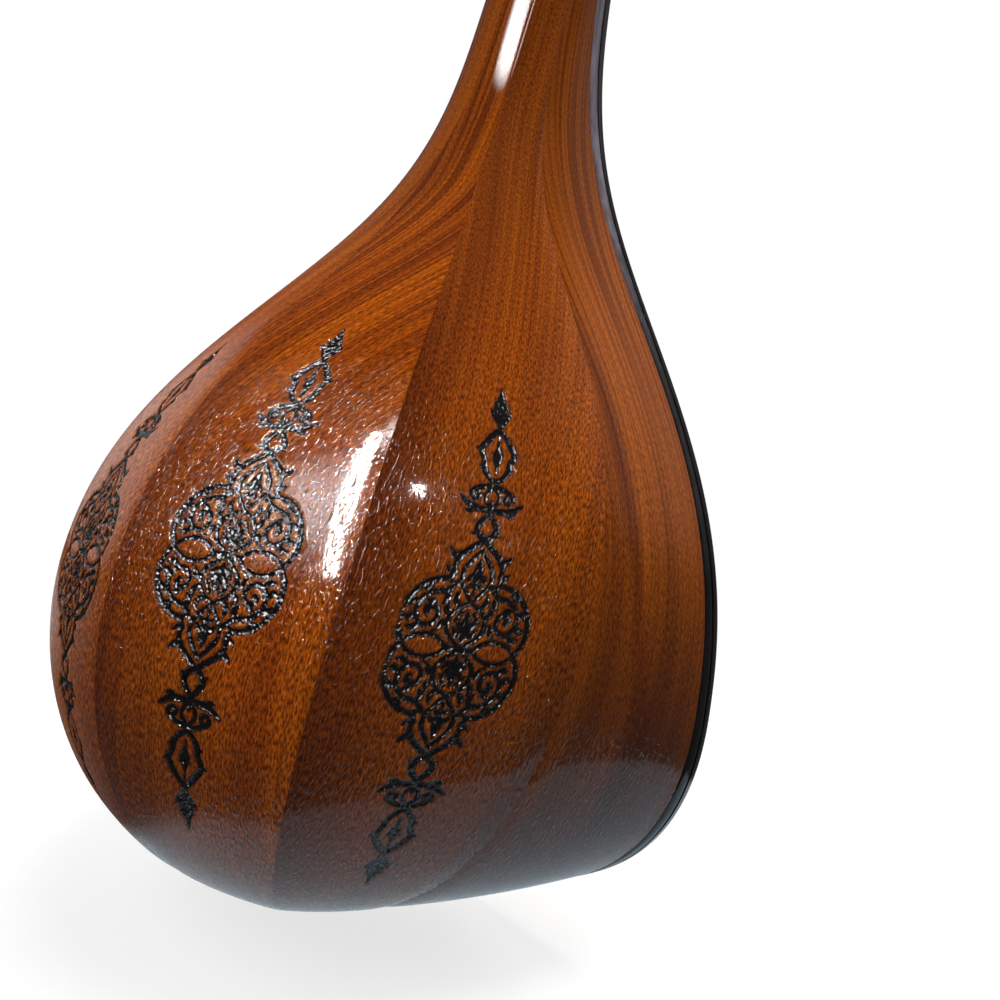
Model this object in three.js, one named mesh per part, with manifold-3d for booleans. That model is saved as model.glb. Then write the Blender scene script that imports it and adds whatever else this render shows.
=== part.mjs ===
// Setar: a Persian long-necked lute with a ribbed pear-shaped bowl, four strings, four pegs and tied frets.
//
// Millimetres, +Z up along the neck, the playing face looks along -Y, the side pegs stand out along -X.
// Heights are first counted from the bottom end of the soundboard, on its front plane (y = 0). The last
// lines lower the whole instrument, so that its origin is where the strings cross the nut's front edge.
//
// Order of the pieces: bowl (staves, bindings, inner blocks and linings), soundboard, bridge and string
// holder, neck, fingerboard, tied frets, nut, head, pegs, strings and their windings.

import * as THREE from 'three';
import { mergeVertices } from 'three/addons/utils/BufferGeometryUtils.js';
import Module from 'manifold-3d';

const wasm = await Module();
wasm.setup();

// Driving dimensions: the bowl
const bowlLength = 276;            // soundboard, from its bottom end to the neck joint
const rimHalfWidth = 83.6;         // half the width of the soundboard, at its widest
const rimWidestHeight = 63.8;      // height of that widest place
const rimRoundnessShare = 2.45;    // exponent of the rim's lower curve: 2 is an ellipse, more is squarer
const tailDepth = 49;              // the staves run together this far behind the front plane
const tailHeight = -2;             // and at this height
// Seams between staves, from the side to the back: their reach from the bowl's axis at the belly, as a
// share of the rim's half width, their direction, the height of the belly and the exponent below it.
const seamReachShares = [0.9294, 0.9701, 0.9928];
const seamAngles = [7.9, 45.4, 79.1].map(THREE.MathUtils.degToRad);
const seamBellyHeights = [79, 81, 82.8];
const seamRoundnessShares = [2.08, 2, 1.93];
const staveThickness = 3;
const bellyCrownShare = 0.024;     // rise of a stave's middle over its own width
const neckCrownShare = 0.056;      // the same at the neck, where the staves run into a round section
const bindingDepth = 3.4;
const tailOpening = 1.2;           // the back staves stop this far from the point where all meet
const glueGap = 0.3;

// Inside the bowl
const tailBlockWidth = 44;
const tailBlockDepth = 60;
const tailBlockHeight = 20;
const neckBlockLength = 36;
const liningWidth = 5;
const liningDepth = 6;
const braceHeights = [112, 186];
const braceWidth = 5;
const braceDepth = 7;

// Soundboard, with its black edge
const boardThickness = 2.4;
const boardArch = 2.5;
const edgingWidth = 2.2;
const soundHoleRadius = 1.7;
const soundHoleRingRadius = 9;
const soundHoleHeight = 152;
const soundHolesInRing = 8;

// Strings over bridge and nut
const scaleLength = 650;
const bridgeHeight = 58;           // bridge, from the bottom end of the soundboard
const bridgeWidth = 62;
const bridgeStand = 9.5;           // from the soundboard to the bridge's top
const bridgeThickness = 5;
const bridgeFootWidth = 9;
const bridgeArchRise = 3.4;
const nutStand = 1.8;              // nut's top, in front of the fingerboard
const nutThickness = 4;
const notchDepth = 0.7;
const notchWidth = 1;
const stringSpacing = 5.8;
const stringDiameters = [0.2, 0.2, 0.2, 0.36];

// String holder at the tail
const holderWidth = 30;
const holderLip = 2.2;
const holderLipHeight = 3.2;
const holderDrop = 6;
const holderDepth = 23;
const holderCorner = 3;
const postRadius = 1.1;
const postLength = 3.6;
const postSetBack = 15;

// Neck and fingerboard
const neckFootHalfWidth = 19;
const neckFootDepth = 27.8;
const neckTopHalfWidth = 13.6;
const neckTopDepth = 22;
const fingerboardThickness = 6;
const tenonWidth = 14;
const tenonDepth = 13;
const tenonLength = 24;
const tenonSetBack = 9;

// Tied frets, at these intervals above the open string, in hundredths of a half tone. They share out
// the neck between the nut and the last fret, which keeps its distance from the bowl.
const octaveShare = 1200;
const fretIntervalShares = [
  90, 135, 204, 294, 340, 408, 498, 565, 630, 702, 792, 840,
  906, 996, 1040, 1110, 1200, 1290, 1335, 1404, 1494, 1540, 1608, 1698,
];
const lastFretFromBowl = 25.8;
const fretBandWidth = 2.2;
const gutThickness = 0.6;
const fretPlay = 0.3;

// Head
const headLength = 112;
const headLean = THREE.MathUtils.degToRad(3.5);
const headHalfWidth = 10.5;
const headTopHalfWidth = 11.5;
const headDepth = 19;
const headCorner = 3.6;
const headWaistLength = 14;
const headBevel = 2;

// Pegs: heights of the two front ones and the two side ones over the nut
const frontPegRises = [27, 67];
const sidePegRises = [49, 89];
const frontPegOffset = 2;
const sidePegInset = 6.6;          // side pegs lie this far behind the head's front face
const pegTipRadius = 3.1;
const pegTaperShare = 0.02;        // growth of the shaft's radius along its length
const pegTipStand = 2.5;
const pegExposed = 10.5;           // bare shaft between the head and the grip
const pegPlay = 0.3;
const gripLength = 15;
const gripHalfWidth = 9.5;
const gripThickness = 5;
const gripBevel = 1;
const collarRadius = 5;
const collarThickness = 1.6;

// Windings of the strings on the pegs
const windingTurns = 4;
const windingStepsPerTurn = 12;
const windingGap = 0.5;
const windingStandOff = 0.5;

// Fineness of the curved surfaces, and the distance under which two corners count as one
const weldDistance = 0.0001;
const lowerRows = 7;
const upperRows = 9;
const columnsPerStave = 4;

// Places that follow from the sizes
const rimPlane = boardThickness + glueGap;
const bindingBottom = rimPlane + bindingDepth;
const nutHeight = bridgeHeight + scaleLength;
const neckEnd = nutHeight + nutThickness + glueGap;
const neckFront = fingerboardThickness + glueGap;
const headStart = neckEnd + glueGap;
const seamReaches = seamReachShares.map((share) => share * rimHalfWidth);
const staveCount = 7;
const seamCount = 3;

const blackWood = () => new THREE.MeshStandardMaterial({ color: 0x17110e, roughness: 0.3 });
const staveWood = () => new THREE.MeshStandardMaterial({ color: 0x7a3a10, roughness: 0.25 });
const neckWood = () => new THREE.MeshStandardMaterial({ color: 0x5c2a10, roughness: 0.25 });
const paleWood = () => new THREE.MeshStandardMaterial({ color: 0xb98a52, roughness: 0.6 });
const boardWood = () => new THREE.MeshStandardMaterial({ color: 0xb8793a, roughness: 0.4 });
const bone = () => new THREE.MeshStandardMaterial({ color: 0xe6dcc0, roughness: 0.4 });
const gut = () => new THREE.MeshStandardMaterial({ color: 0xc9a566, roughness: 0.5 });
const steel = () => new THREE.MeshStandardMaterial({ color: 0xb9bcc0, roughness: 0.3, metalness: 1 });
const brass = () => new THREE.MeshStandardMaterial({ color: 0xc9a24a, roughness: 0.3, metalness: 1 });

const setar = new THREE.Group();

function addPiece(name, geometry, material, parent = setar) {
  const mesh = new THREE.Mesh(geometry, material);
  mesh.name = name;
  parent.add(mesh);
  return mesh;
}

// Closed bodies

// Welds equal corners, drops triangles that have shrunk to a line, and turns all faces outward.
function finishBody(geometry) {
  geometry.deleteAttribute('normal');
  geometry.deleteAttribute('uv');
  const welded = mergeVertices(geometry, weldDistance);
  const corners = welded.getAttribute('position');
  const source = welded.getIndex().array;
  const faces = [];
  let volume = 0;
  const [a, b, c] = [new THREE.Vector3(), new THREE.Vector3(), new THREE.Vector3()];
  for (let i = 0; i < source.length; i += 3) {
    const [p, q, r] = [source[i], source[i + 1], source[i + 2]];
    if (p === q || q === r || r === p) continue;
    faces.push(p, q, r);
    a.fromBufferAttribute(corners, p);
    b.fromBufferAttribute(corners, q);
    c.fromBufferAttribute(corners, r);
    volume += a.dot(b.cross(c));
  }
  if (volume < 0) {
    for (let i = 0; i < faces.length; i += 3) {
      [faces[i + 1], faces[i + 2]] = [faces[i + 2], faces[i + 1]];
    }
  }
  welded.setIndex(faces);
  welded.computeVertexNormals();
  return welded;
}

function bodyFromPoints(points, faces) {
  const geometry = new THREE.BufferGeometry().setFromPoints(points);
  geometry.setIndex(faces);
  return finishBody(geometry);
}

// A plate between two grids of points that lie over each other, closed along its four sides.
function plateBody(frontRows, backRows) {
  const rows = frontRows.length;
  const columns = frontRows[0].length;
  const points = [...frontRows.flat(), ...backRows.flat()];
  const faces = [];
  const at = (side, row, column) => side * rows * columns + row * columns + column;
  const quad = (a, b, c, d) => faces.push(a, b, c, a, c, d);
  for (let row = 0; row < rows - 1; row++) {
    for (let column = 0; column < columns - 1; column++) {
      quad(at(0, row, column), at(0, row, column + 1), at(0, row + 1, column + 1), at(0, row + 1, column));
      quad(at(1, row, column), at(1, row + 1, column), at(1, row + 1, column + 1), at(1, row, column + 1));
    }
  }
  for (let column = 0; column < columns - 1; column++) {
    quad(at(1, 0, column), at(1, 0, column + 1), at(0, 0, column + 1), at(0, 0, column));
    const end = rows - 1;
    quad(at(0, end, column), at(0, end, column + 1), at(1, end, column + 1), at(1, end, column));
  }
  for (let row = 0; row < rows - 1; row++) {
    quad(at(0, row, 0), at(0, row + 1, 0), at(1, row + 1, 0), at(1, row, 0));
    const end = columns - 1;
    quad(at(1, row, end), at(1, row + 1, end), at(0, row + 1, end), at(0, row, end));
  }
  return bodyFromPoints(points, faces);
}

// A body lofted through rings of points: open rings get flat ends, a loop of rings closes on itself.
function loftBody(rings, isLoop = false) {
  const sides = rings[0].length;
  const points = rings.flat();
  const faces = [];
  const spans = isLoop ? rings.length : rings.length - 1;
  for (let ring = 0; ring < spans; ring++) {
    const next = (ring + 1) % rings.length;
    for (let side = 0; side < sides; side++) {
      const beside = (side + 1) % sides;
      const [a, b] = [ring * sides + side, ring * sides + beside];
      const [c, d] = [next * sides + beside, next * sides + side];
      faces.push(a, b, c, a, c, d);
    }
  }
  if (!isLoop) {
    const last = (rings.length - 1) * sides;
    for (let side = 1; side < sides - 1; side++) {
      faces.push(0, side + 1, side);
      faces.push(last, last + side, last + side + 1);
    }
  }
  return bodyFromPoints(points, faces);
}

// A round tube through a list of points, with its section square to the way it runs.
function tubeBody(path, radius, sides) {
  const rings = [];
  const across = new THREE.Vector3();
  for (let i = 0; i < path.length; i++) {
    const ahead = path[Math.min(i + 1, path.length - 1)];
    const behind = path[Math.max(i - 1, 0)];
    const run = ahead.clone().sub(behind).normalize();
    if (i === 0) across.set(run.z, run.x, run.y);
    across.addScaledVector(run, -across.dot(run)).normalize();
    const up = new THREE.Vector3().crossVectors(run, across);
    const ring = [];
    for (let side = 0; side < sides; side++) {
      const turn = (2 * Math.PI * side) / sides;
      ring.push(path[i].clone()
        .addScaledVector(across, radius * Math.cos(turn))
        .addScaledVector(up, radius * Math.sin(turn)));
    }
    rings.push(ring);
  }
  return loftBody(rings);
}

// Cutting and joining

function toSolid(geometry) {
  const body = finishBody(geometry.clone());
  return new wasm.Manifold(new wasm.Mesh({
    numProp: 3,
    vertProperties: Float32Array.from(body.getAttribute('position').array),
    triVerts: Uint32Array.from(body.getIndex().array),
  }));
}

function fromSolid(solid) {
  const { vertProperties, triVerts } = solid.getMesh();
  const geometry = new THREE.BufferGeometry();
  geometry.setAttribute('position', new THREE.BufferAttribute(vertProperties, 3));
  geometry.setIndex(Array.from(triVerts));
  return finishBody(geometry);
}

function boxSolid(low, high) {
  const size = high.clone().sub(low);
  const middle = low.clone().add(high).multiplyScalar(0.5);
  return toSolid(new THREE.BoxGeometry(size.x, size.y, size.z).translate(middle.x, middle.y, middle.z));
}

// The bowl's surface
//
// Eight seams bound the seven staves. Seam 0 and seam 7 are the rim. A place along a seam is counted
// from 0 at the tail, over 1 at the belly, to 2 at the neck. Below the belly a seam is a superellipse
// in its own upright plane, above it eases into the neck's elliptic section.

const smoothFall = (share, startShare, steepShare) =>
  ((1 + Math.cos(Math.PI * share ** startShare)) / 2) ** steepShare;

const rimFall = (share) => smoothFall(share, 1.09, 1.49);

const seamFalls = [
  (share) => smoothFall(share, 1.14, 2.17),
  (share) => smoothFall(share, 1.12, 2.32),
  (share) => smoothFall(share, 1.09, 2.48),
];

function axisDepth(height) {
  const share = THREE.MathUtils.clamp((height - tailHeight) / (bowlLength - tailHeight), 0, 1);
  return tailDepth * (1 - share);
}

function superellipse(place, roundness) {
  const turn = (place * Math.PI) / 2;
  return { out: Math.sin(turn) ** (2 / roundness), up: 1 - Math.max(Math.cos(turn), 0) ** (2 / roundness) };
}

function rimPoint(place) {
  if (place <= 1) {
    const { out, up } = superellipse(place, rimRoundnessShare);
    return new THREE.Vector3(rimHalfWidth * out, rimPlane, rimWidestHeight * up);
  }
  const fall = rimFall(place - 1);
  const height = THREE.MathUtils.lerp(rimWidestHeight, bowlLength, place - 1);
  return new THREE.Vector3(THREE.MathUtils.lerp(neckFootHalfWidth, rimHalfWidth, fall), rimPlane, height);
}

function backSeamPoint(seam, place) {
  const reach = seamReaches[seam];
  const sideways = reach * Math.cos(seamAngles[seam]);
  const backward = reach * Math.sin(seamAngles[seam]);
  const belly = seamBellyHeights[seam];
  if (place <= 1) {
    const { out, up } = superellipse(place, seamRoundnessShares[seam]);
    const height = THREE.MathUtils.lerp(tailHeight, belly, up);
    return new THREE.Vector3(sideways * out, backward * out + axisDepth(height), height);
  }
  const fall = seamFalls[seam](place - 1);
  const height = THREE.MathUtils.lerp(belly, bowlLength, place - 1);
  const neckTurn = ((seam + 1) * Math.PI) / staveCount;
  const neckSideways = neckFootHalfWidth * Math.cos(neckTurn);
  const neckBackward = neckFootDepth * Math.sin(neckTurn);
  return new THREE.Vector3(
    THREE.MathUtils.lerp(neckSideways, sideways, fall),
    THREE.MathUtils.lerp(neckBackward, backward, fall) + axisDepth(height),
    height,
  );
}

function seamPoint(seam, place) {
  const isLeft = seam > seamCount;
  const own = isLeft ? staveCount - seam : seam;
  const point = own === 0 ? rimPoint(place) : backSeamPoint(own - 1, place);
  if (isLeft) point.x = -point.x;
  return point;
}

// Directions on the surface are taken over this share of a stave. Where the wall lies nearly along the
// way in, its depth is taken as if it were no more slanted than the limit.
const probeShare = 0.02;
const slantLimitShare = 0.6;

// A point on a stave: across is 0 at its first seam and 1 at its second.
function stavePoint(stave, across, place) {
  const first = seamPoint(stave, place);
  const second = seamPoint(stave + 1, place);
  const ahead = Math.min(place + probeShare, 2);
  const behind = Math.max(ahead - probeShare, 0);
  const run = seamPoint(stave, ahead).add(seamPoint(stave + 1, ahead))
    .sub(seamPoint(stave, behind)).sub(seamPoint(stave + 1, behind));
  const chord = second.clone().sub(first);
  const outward = chord.clone().cross(run).normalize();
  const crown = THREE.MathUtils.lerp(bellyCrownShare, neckCrownShare, Math.max(place - 1, 0) ** 2);
  const rise = crown * chord.length() * 4 * across * (1 - across);
  return first.lerp(second, across).addScaledVector(outward, rise);
}

// From any point of the wall, the way in. At the rim it stays in the rim's plane.
function wayIn(point, stave, across) {
  const isRightEdge = stave === 0;
  const isLeftEdge = stave === staveCount - 1;
  const belly = seamBellyHeights[1];
  const deep = new THREE.Vector3(0, axisDepth(Math.max(point.z, belly)), Math.max(point.z, belly));
  const inward = deep.sub(point).normalize();
  if (!isRightEdge && !isLeftEdge) return inward;
  const level = new THREE.Vector3(0, point.y, Math.max(point.z, rimWidestHeight)).sub(point).normalize();
  const rimShare = isRightEdge ? 1 - across : across;
  return inward.lerp(level, rimShare).normalize();
}

// The same point, moved in by a depth that is measured square to the wall.
function wallPoint(stave, across, place, depth) {
  const point = stavePoint(stave, across, place);
  const p = THREE.MathUtils.clamp(place, probeShare, 2 - probeShare);
  const a = THREE.MathUtils.clamp(across, probeShare, 1 - probeShare);
  const along = stavePoint(stave, a, p + probeShare).sub(stavePoint(stave, a, p - probeShare));
  const over = stavePoint(stave, a + probeShare, p).sub(stavePoint(stave, a - probeShare, p));
  const normal = along.cross(over).normalize();
  const inward = wayIn(point, stave, across);
  return point.addScaledVector(inward, depth / Math.max(Math.abs(normal.dot(inward)), slantLimitShare));
}

function placesAlong(start) {
  const places = [start];
  for (let row = 1; row <= lowerRows; row++) places.push(row / lowerRows);
  for (let row = 1; row <= upperRows; row++) places.push(1 + row / upperRows);
  return places;
}

// Where the back staves begin: on their seams, the tail opening away from the meeting point.
const backStart = (2 / Math.PI) * Math.asin((tailOpening / seamReaches[1]) ** (seamRoundnessShares[1] / 2));

// One stave, or a strip of it from one share of its width to another.
function staveBody(stave, firstShareAt, lastShareAt, start) {
  const layers = [0, staveThickness].map((depth) => placesAlong(start).map((place) => {
    const row = [];
    const width = seamPoint(stave, place).distanceTo(seamPoint(stave + 1, place));
    const gapShare = glueGap / 2 / width;
    const [from, to] = [firstShareAt(place, gapShare), lastShareAt(place, gapShare)];
    for (let column = 0; column <= columnsPerStave; column++) {
      const across = THREE.MathUtils.lerp(from, to, column / columnsPerStave);
      row.push(wallPoint(stave, across, place, depth));
    }
    return row;
  }));
  return plateBody(layers[0], layers[1]);
}

// Edge staves and bindings of the two sides meet on the centre line, where each keeps half the gap.
function keepOffCentre(geometry, sign) {
  const corners = geometry.getAttribute('position');
  for (let i = 0; i < corners.count; i++) {
    if (corners.getX(i) * sign < glueGap / 2) corners.setX(i, (sign * glueGap) / 2);
  }
  return geometry;
}

// How far across an edge stave a given depth behind the front plane lies.
function shareAtDepth(place, depth) {
  return (depth - rimPlane) / (seamPoint(1, place).y - rimPlane);
}

const fullStart = (place, gapShare) => gapShare;
const fullEnd = (place, gapShare) => 1 - gapShare;

['right_mid', 'right_back', 'center', 'left_back', 'left_mid'].forEach((place, index) => {
  addPiece(`stave_${place}`, staveBody(index + 1, fullStart, fullEnd, backStart), staveWood());
});

// Each edge stave stops at the black binding, which runs along the rim in its place.
for (const [side, stave, sign] of [['right', 0, 1], ['left', staveCount - 1, -1]]) {
  const mirror = (share) => (sign > 0 ? share : 1 - share);
  const strip = (fromDepth, toDepth) => {
    const near = (place) => mirror(fromDepth === 0 ? 0 : shareAtDepth(place, fromDepth));
    const far = (place, gapShare) => mirror(toDepth === 0 ? 1 - gapShare : shareAtDepth(place, toDepth));
    const body = sign > 0 ? staveBody(stave, near, far, 0) : staveBody(stave, far, near, 0);
    return keepOffCentre(body, sign);
  };
  addPiece(`stave_${side}_edge`, strip(bindingBottom + glueGap, 0), staveWood());
  addPiece(`bowl_binding_${side}`, strip(0, bindingBottom), blackWood());
}

// The room inside the staves, or the space that the bowl takes up, as one body
//
// depth counts inward from the outer surface. Its front is flat, at the rim's plane.
function bowlSolid(depth) {
  const rings = placesAlong(0).map((place) => {
    const ring = [];
    for (let step = 0; step <= staveCount * columnsPerStave; step++) {
      const stave = Math.min(Math.floor(step / columnsPerStave), staveCount - 1);
      const across = step / columnsPerStave - stave;
      ring.push(place === 0 ? tailPoint(stave, across, depth) : wallPoint(stave, across, place, depth));
    }
    return ring;
  });
  return toSolid(loftBody(rings));
}

// At the tail the ring folds flat onto the centre line, where the two edge staves meet.
function tailPoint(stave, across, depth) {
  const isRightEdge = stave === 0;
  const isLeftEdge = stave === staveCount - 1;
  const share = isRightEdge ? across : isLeftEdge ? 1 - across : 1;
  return wallPoint(0, share, 0, depth).setX(0);
}

const bowlRoom = bowlSolid(staveThickness + glueGap);
const roomInsideLinings = bowlSolid(staveThickness + glueGap + liningWidth);
const roomForBraces = bowlSolid(staveThickness + glueGap + liningWidth + glueGap);
const bowlOutside = bowlSolid(-glueGap);

// Inner pieces: each is cut to the room inside the staves, so it seats on them all over.
const neckBlockBottom = bowlLength - neckBlockLength;

const tailBlock = bowlRoom.intersect(boxSolid(
  new THREE.Vector3(-tailBlockWidth / 2, rimPlane, tailHeight - tailBlockHeight),
  new THREE.Vector3(tailBlockWidth / 2, tailBlockDepth, tailBlockHeight),
));
addPiece('tail_block', fromSolid(tailBlock), paleWood());

const mortiseHalfWidth = tenonWidth / 2 + glueGap;
const mortiseBack = tenonSetBack + tenonDepth + glueGap;
const mortise = boxSolid(
  new THREE.Vector3(-mortiseHalfWidth, tenonSetBack - glueGap, bowlLength - tenonLength - glueGap),
  new THREE.Vector3(mortiseHalfWidth, mortiseBack, bowlLength + neckBlockLength),
);
const neckBlock = bowlRoom.intersect(boxSolid(
  new THREE.Vector3(-rimHalfWidth, rimPlane, neckBlockBottom),
  new THREE.Vector3(rimHalfWidth, rimHalfWidth, bowlLength + neckBlockLength),
)).subtract(mortise);
addPiece('neck_block', fromSolid(neckBlock), paleWood());

for (const [side, sign] of [['right', 1], ['left', -1]]) {
  const band = boxSolid(
    new THREE.Vector3(sign > 0 ? 0 : -rimHalfWidth, rimPlane, tailBlockHeight + glueGap),
    new THREE.Vector3(sign > 0 ? rimHalfWidth : 0, rimPlane + liningDepth, neckBlockBottom - glueGap),
  );
  const lining = bowlRoom.subtract(roomInsideLinings).intersect(band);
  addPiece(`rim_lining_${side}`, fromSolid(lining), paleWood());
}

braceHeights.forEach((height, index) => {
  const bar = boxSolid(
    new THREE.Vector3(-rimHalfWidth, rimPlane, height - braceWidth / 2),
    new THREE.Vector3(rimHalfWidth, rimPlane + braceDepth, height + braceWidth / 2),
  );
  addPiece(`soundboard_brace_${index + 1}`, fromSolid(roomForBraces.intersect(bar)), paleWood());
});

// Soundboard: a thin plate with a low arch, drilled with a ring of small sound holes.
function archAt(x, z) {
  const halfWidth = Math.max(rimHalfWidthAt(z), edgingWidth);
  const share = THREE.MathUtils.clamp(z / bowlLength, 0, 1);
  return boardArch * Math.sin(Math.PI * share) * Math.max(1 - (x / halfWidth) ** 2, 0);
}

// Half the width of the rim at a height, found by halving the range of places along it.
function rimHalfWidthAt(z) {
  let [low, high] = [0, 2];
  const halvings = 30;
  for (let i = 0; i < halvings; i++) {
    const middle = (low + high) / 2;
    if (rimPoint(middle).z < z) low = middle;
    else high = middle;
  }
  return rimPoint(low).x;
}

const boardColumns = 8;
const boardPoint = (place, column, depth) => {
  const edge = wallPoint(0, 0, place, edgingWidth + glueGap);
  const x = THREE.MathUtils.lerp(-edge.x, edge.x, column / boardColumns);
  const share = (2 * column) / boardColumns - 1;
  const arch = boardArch * Math.sin((Math.PI * edge.z) / bowlLength) * (1 - share ** 2);
  return new THREE.Vector3(x, depth - arch, edge.z);
};
const boardLayers = [0, boardThickness].map((depth) => placesAlong(0).map((place) => {
  const row = [];
  for (let column = 0; column <= boardColumns; column++) row.push(boardPoint(place, column, depth));
  if (place === 0) row.forEach((point) => point.set(0, depth, point.z));
  return row;
}));

const soundHoleSides = 8;
const drillLength = 4 * (boardThickness + boardArch);
let soundboard = toSolid(plateBody(boardLayers[0], boardLayers[1]));
for (let hole = 0; hole <= soundHolesInRing; hole++) {
  const turn = (2 * Math.PI * hole) / soundHolesInRing;
  const fromMiddle = hole === soundHolesInRing ? 0 : soundHoleRingRadius;
  const drill = new THREE.CylinderGeometry(soundHoleRadius, soundHoleRadius, drillLength, soundHoleSides);
  drill.translate(fromMiddle * Math.cos(turn), 0, soundHoleHeight + fromMiddle * Math.sin(turn));
  soundboard = soundboard.subtract(toSolid(drill));
}
addPiece('soundboard', fromSolid(soundboard), boardWood());

for (const [side, sign] of [['right', 1], ['left', -1]]) {
  const edgingPoint = (place, depth, y) => {
    const point = wallPoint(0, 0, place, depth);
    return new THREE.Vector3(sign * Math.max(point.x, glueGap / 2), y, point.z);
  };
  const layers = [0, boardThickness].map((y) => placesAlong(0).map((place) => [
    edgingPoint(place, 0, y),
    edgingPoint(place, edgingWidth, y),
  ]));
  addPiece(`soundboard_edging_${side}`, plateBody(layers[0], layers[1]), blackWood());
}

// Where the strings cross bridge and nut, from the highest string to the lowest.
const stringPlaceShares = [1.5, 0.5, -0.5, -1.5];
const stringOffsets = stringPlaceShares.map((share) => share * stringSpacing);

// Bridge: two feet on the arched board, a notch for each string. Extruded along the neck.
const bridgeFootMiddle = bridgeWidth / 2 - bridgeFootWidth;
const bridgeSeat = -archAt(bridgeFootMiddle, bridgeHeight) - glueGap;
const bridgeTop = -bridgeStand;
const bridgeEnd = bridgeWidth / 2;
const bridgeHollow = bridgeEnd - bridgeFootWidth;
const bridgeFlank = bridgeEnd - bridgeFootWidth / 2;
const bridgeOutline = new THREE.Shape();
bridgeOutline.moveTo(-bridgeEnd, bridgeSeat);
bridgeOutline.lineTo(-bridgeHollow, bridgeSeat);
bridgeOutline.quadraticCurveTo(0, bridgeSeat - 2 * bridgeArchRise, bridgeHollow, bridgeSeat);
bridgeOutline.lineTo(bridgeEnd, bridgeSeat);
bridgeOutline.quadraticCurveTo(bridgeFlank, bridgeTop / 2, bridgeEnd / 2, bridgeTop);
for (const x of stringOffsets) {
  bridgeOutline.lineTo(x + notchWidth / 2, bridgeTop);
  bridgeOutline.lineTo(x + notchWidth / 2, bridgeTop + notchDepth);
  bridgeOutline.lineTo(x - notchWidth / 2, bridgeTop + notchDepth);
  bridgeOutline.lineTo(x - notchWidth / 2, bridgeTop);
}
bridgeOutline.lineTo(-bridgeEnd / 2, bridgeTop);
bridgeOutline.quadraticCurveTo(-bridgeFlank, bridgeTop / 2, -bridgeEnd, bridgeSeat);
const bridgeBody = new THREE.ExtrudeGeometry(bridgeOutline, {
  depth: bridgeThickness, bevelEnabled: false, curveSegments: 8,
});
bridgeBody.translate(0, 0, bridgeHeight - bridgeThickness / 2);
addPiece('bridge', finishBody(bridgeBody), neckWood());

// String holder: hooks over the soundboard's bottom edge, lies under the bowl and carries four posts.
const holderUnder = -glueGap - holderDrop;
const holderFront = -glueGap - holderLip;
const holderProfile = new THREE.Shape();
holderProfile.moveTo(holderFront, holderLipHeight);
holderProfile.lineTo(-glueGap, holderLipHeight);
holderProfile.lineTo(-glueGap, -glueGap);
holderProfile.lineTo(holderDepth, -glueGap);
holderProfile.lineTo(holderDepth, holderUnder);
holderProfile.lineTo(holderFront + holderCorner, holderUnder);
holderProfile.absarc(
  holderFront + holderCorner, holderUnder + holderCorner, holderCorner, 1.5 * Math.PI, Math.PI, true,
);
const holderPlate = new THREE.ExtrudeGeometry(holderProfile, {
  depth: holderWidth, bevelEnabled: false, curveSegments: 4,
});
// The profile is drawn as (y, z): turning x to y, y to z and z to x stands it across the tail.
const profileToTail = new THREE.Matrix4().makeBasis(
  new THREE.Vector3(0, 1, 0), new THREE.Vector3(0, 0, 1), new THREE.Vector3(1, 0, 0),
);
holderPlate.applyMatrix4(profileToTail).translate(-holderWidth / 2, 0, 0);
const bindingRoom = boxSolid(
  new THREE.Vector3(-rimHalfWidth, -glueGap, -glueGap),
  new THREE.Vector3(rimHalfWidth, tailBlockDepth, bowlLength),
);
let stringHolder = toSolid(holderPlate).subtract(bowlOutside).subtract(bindingRoom);
const postSides = 8;
for (const x of stringOffsets) {
  const post = new THREE.CylinderGeometry(postRadius, postRadius, 2 * postLength, postSides);
  post.rotateX(Math.PI / 2).translate(x, postSetBack, holderUnder);
  stringHolder = stringHolder.add(toSolid(post));
}
addPiece('string_holder', fromSolid(stringHolder), bone());

// Neck: the elliptic section of the bowl's end runs on and gets slimmer, with a flat front.
function neckHalfWidthAt(z) {
  return THREE.MathUtils.mapLinear(z, bowlLength, neckEnd, neckFootHalfWidth, neckTopHalfWidth);
}

function neckDepthAt(z) {
  return THREE.MathUtils.mapLinear(z, bowlLength, neckEnd, neckFootDepth, neckTopDepth);
}

function neckRing(z) {
  const [halfWidth, depth] = [neckHalfWidthAt(z), neckDepthAt(z)];
  const start = Math.asin(neckFront / depth);
  const steps = 2 * staveCount;
  const ring = [];
  for (let step = 0; step <= steps; step++) {
    const turn = THREE.MathUtils.clamp((step * Math.PI) / steps, start, Math.PI - start);
    ring.push(new THREE.Vector3(halfWidth * Math.cos(turn), depth * Math.sin(turn), z));
  }
  return ring;
}

const tenon = boxSolid(
  new THREE.Vector3(-tenonWidth / 2, tenonSetBack, bowlLength - tenonLength),
  new THREE.Vector3(tenonWidth / 2, tenonSetBack + tenonDepth, bowlLength + tenonLength),
);
const neckShaft = toSolid(loftBody([neckRing(bowlLength + glueGap), neckRing(neckEnd)]));
addPiece('neck', fromSolid(neckShaft.add(tenon)), neckWood());

// Fingerboard: a black layer on the neck's flat front, with sides that follow the same section.
function fingerboardRing(z) {
  const [halfWidth, depth] = [neckHalfWidthAt(z), neckDepthAt(z)];
  const edge = (y, sign) => new THREE.Vector3(sign * halfWidth * Math.sqrt(1 - (y / depth) ** 2), y, z);
  return [edge(0, -1), edge(0, 1), edge(fingerboardThickness, 1), edge(fingerboardThickness, -1)];
}
addPiece('fingerboard', loftBody([
  fingerboardRing(bowlLength + glueGap),
  fingerboardRing(nutHeight - glueGap),
]), blackWood());

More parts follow.
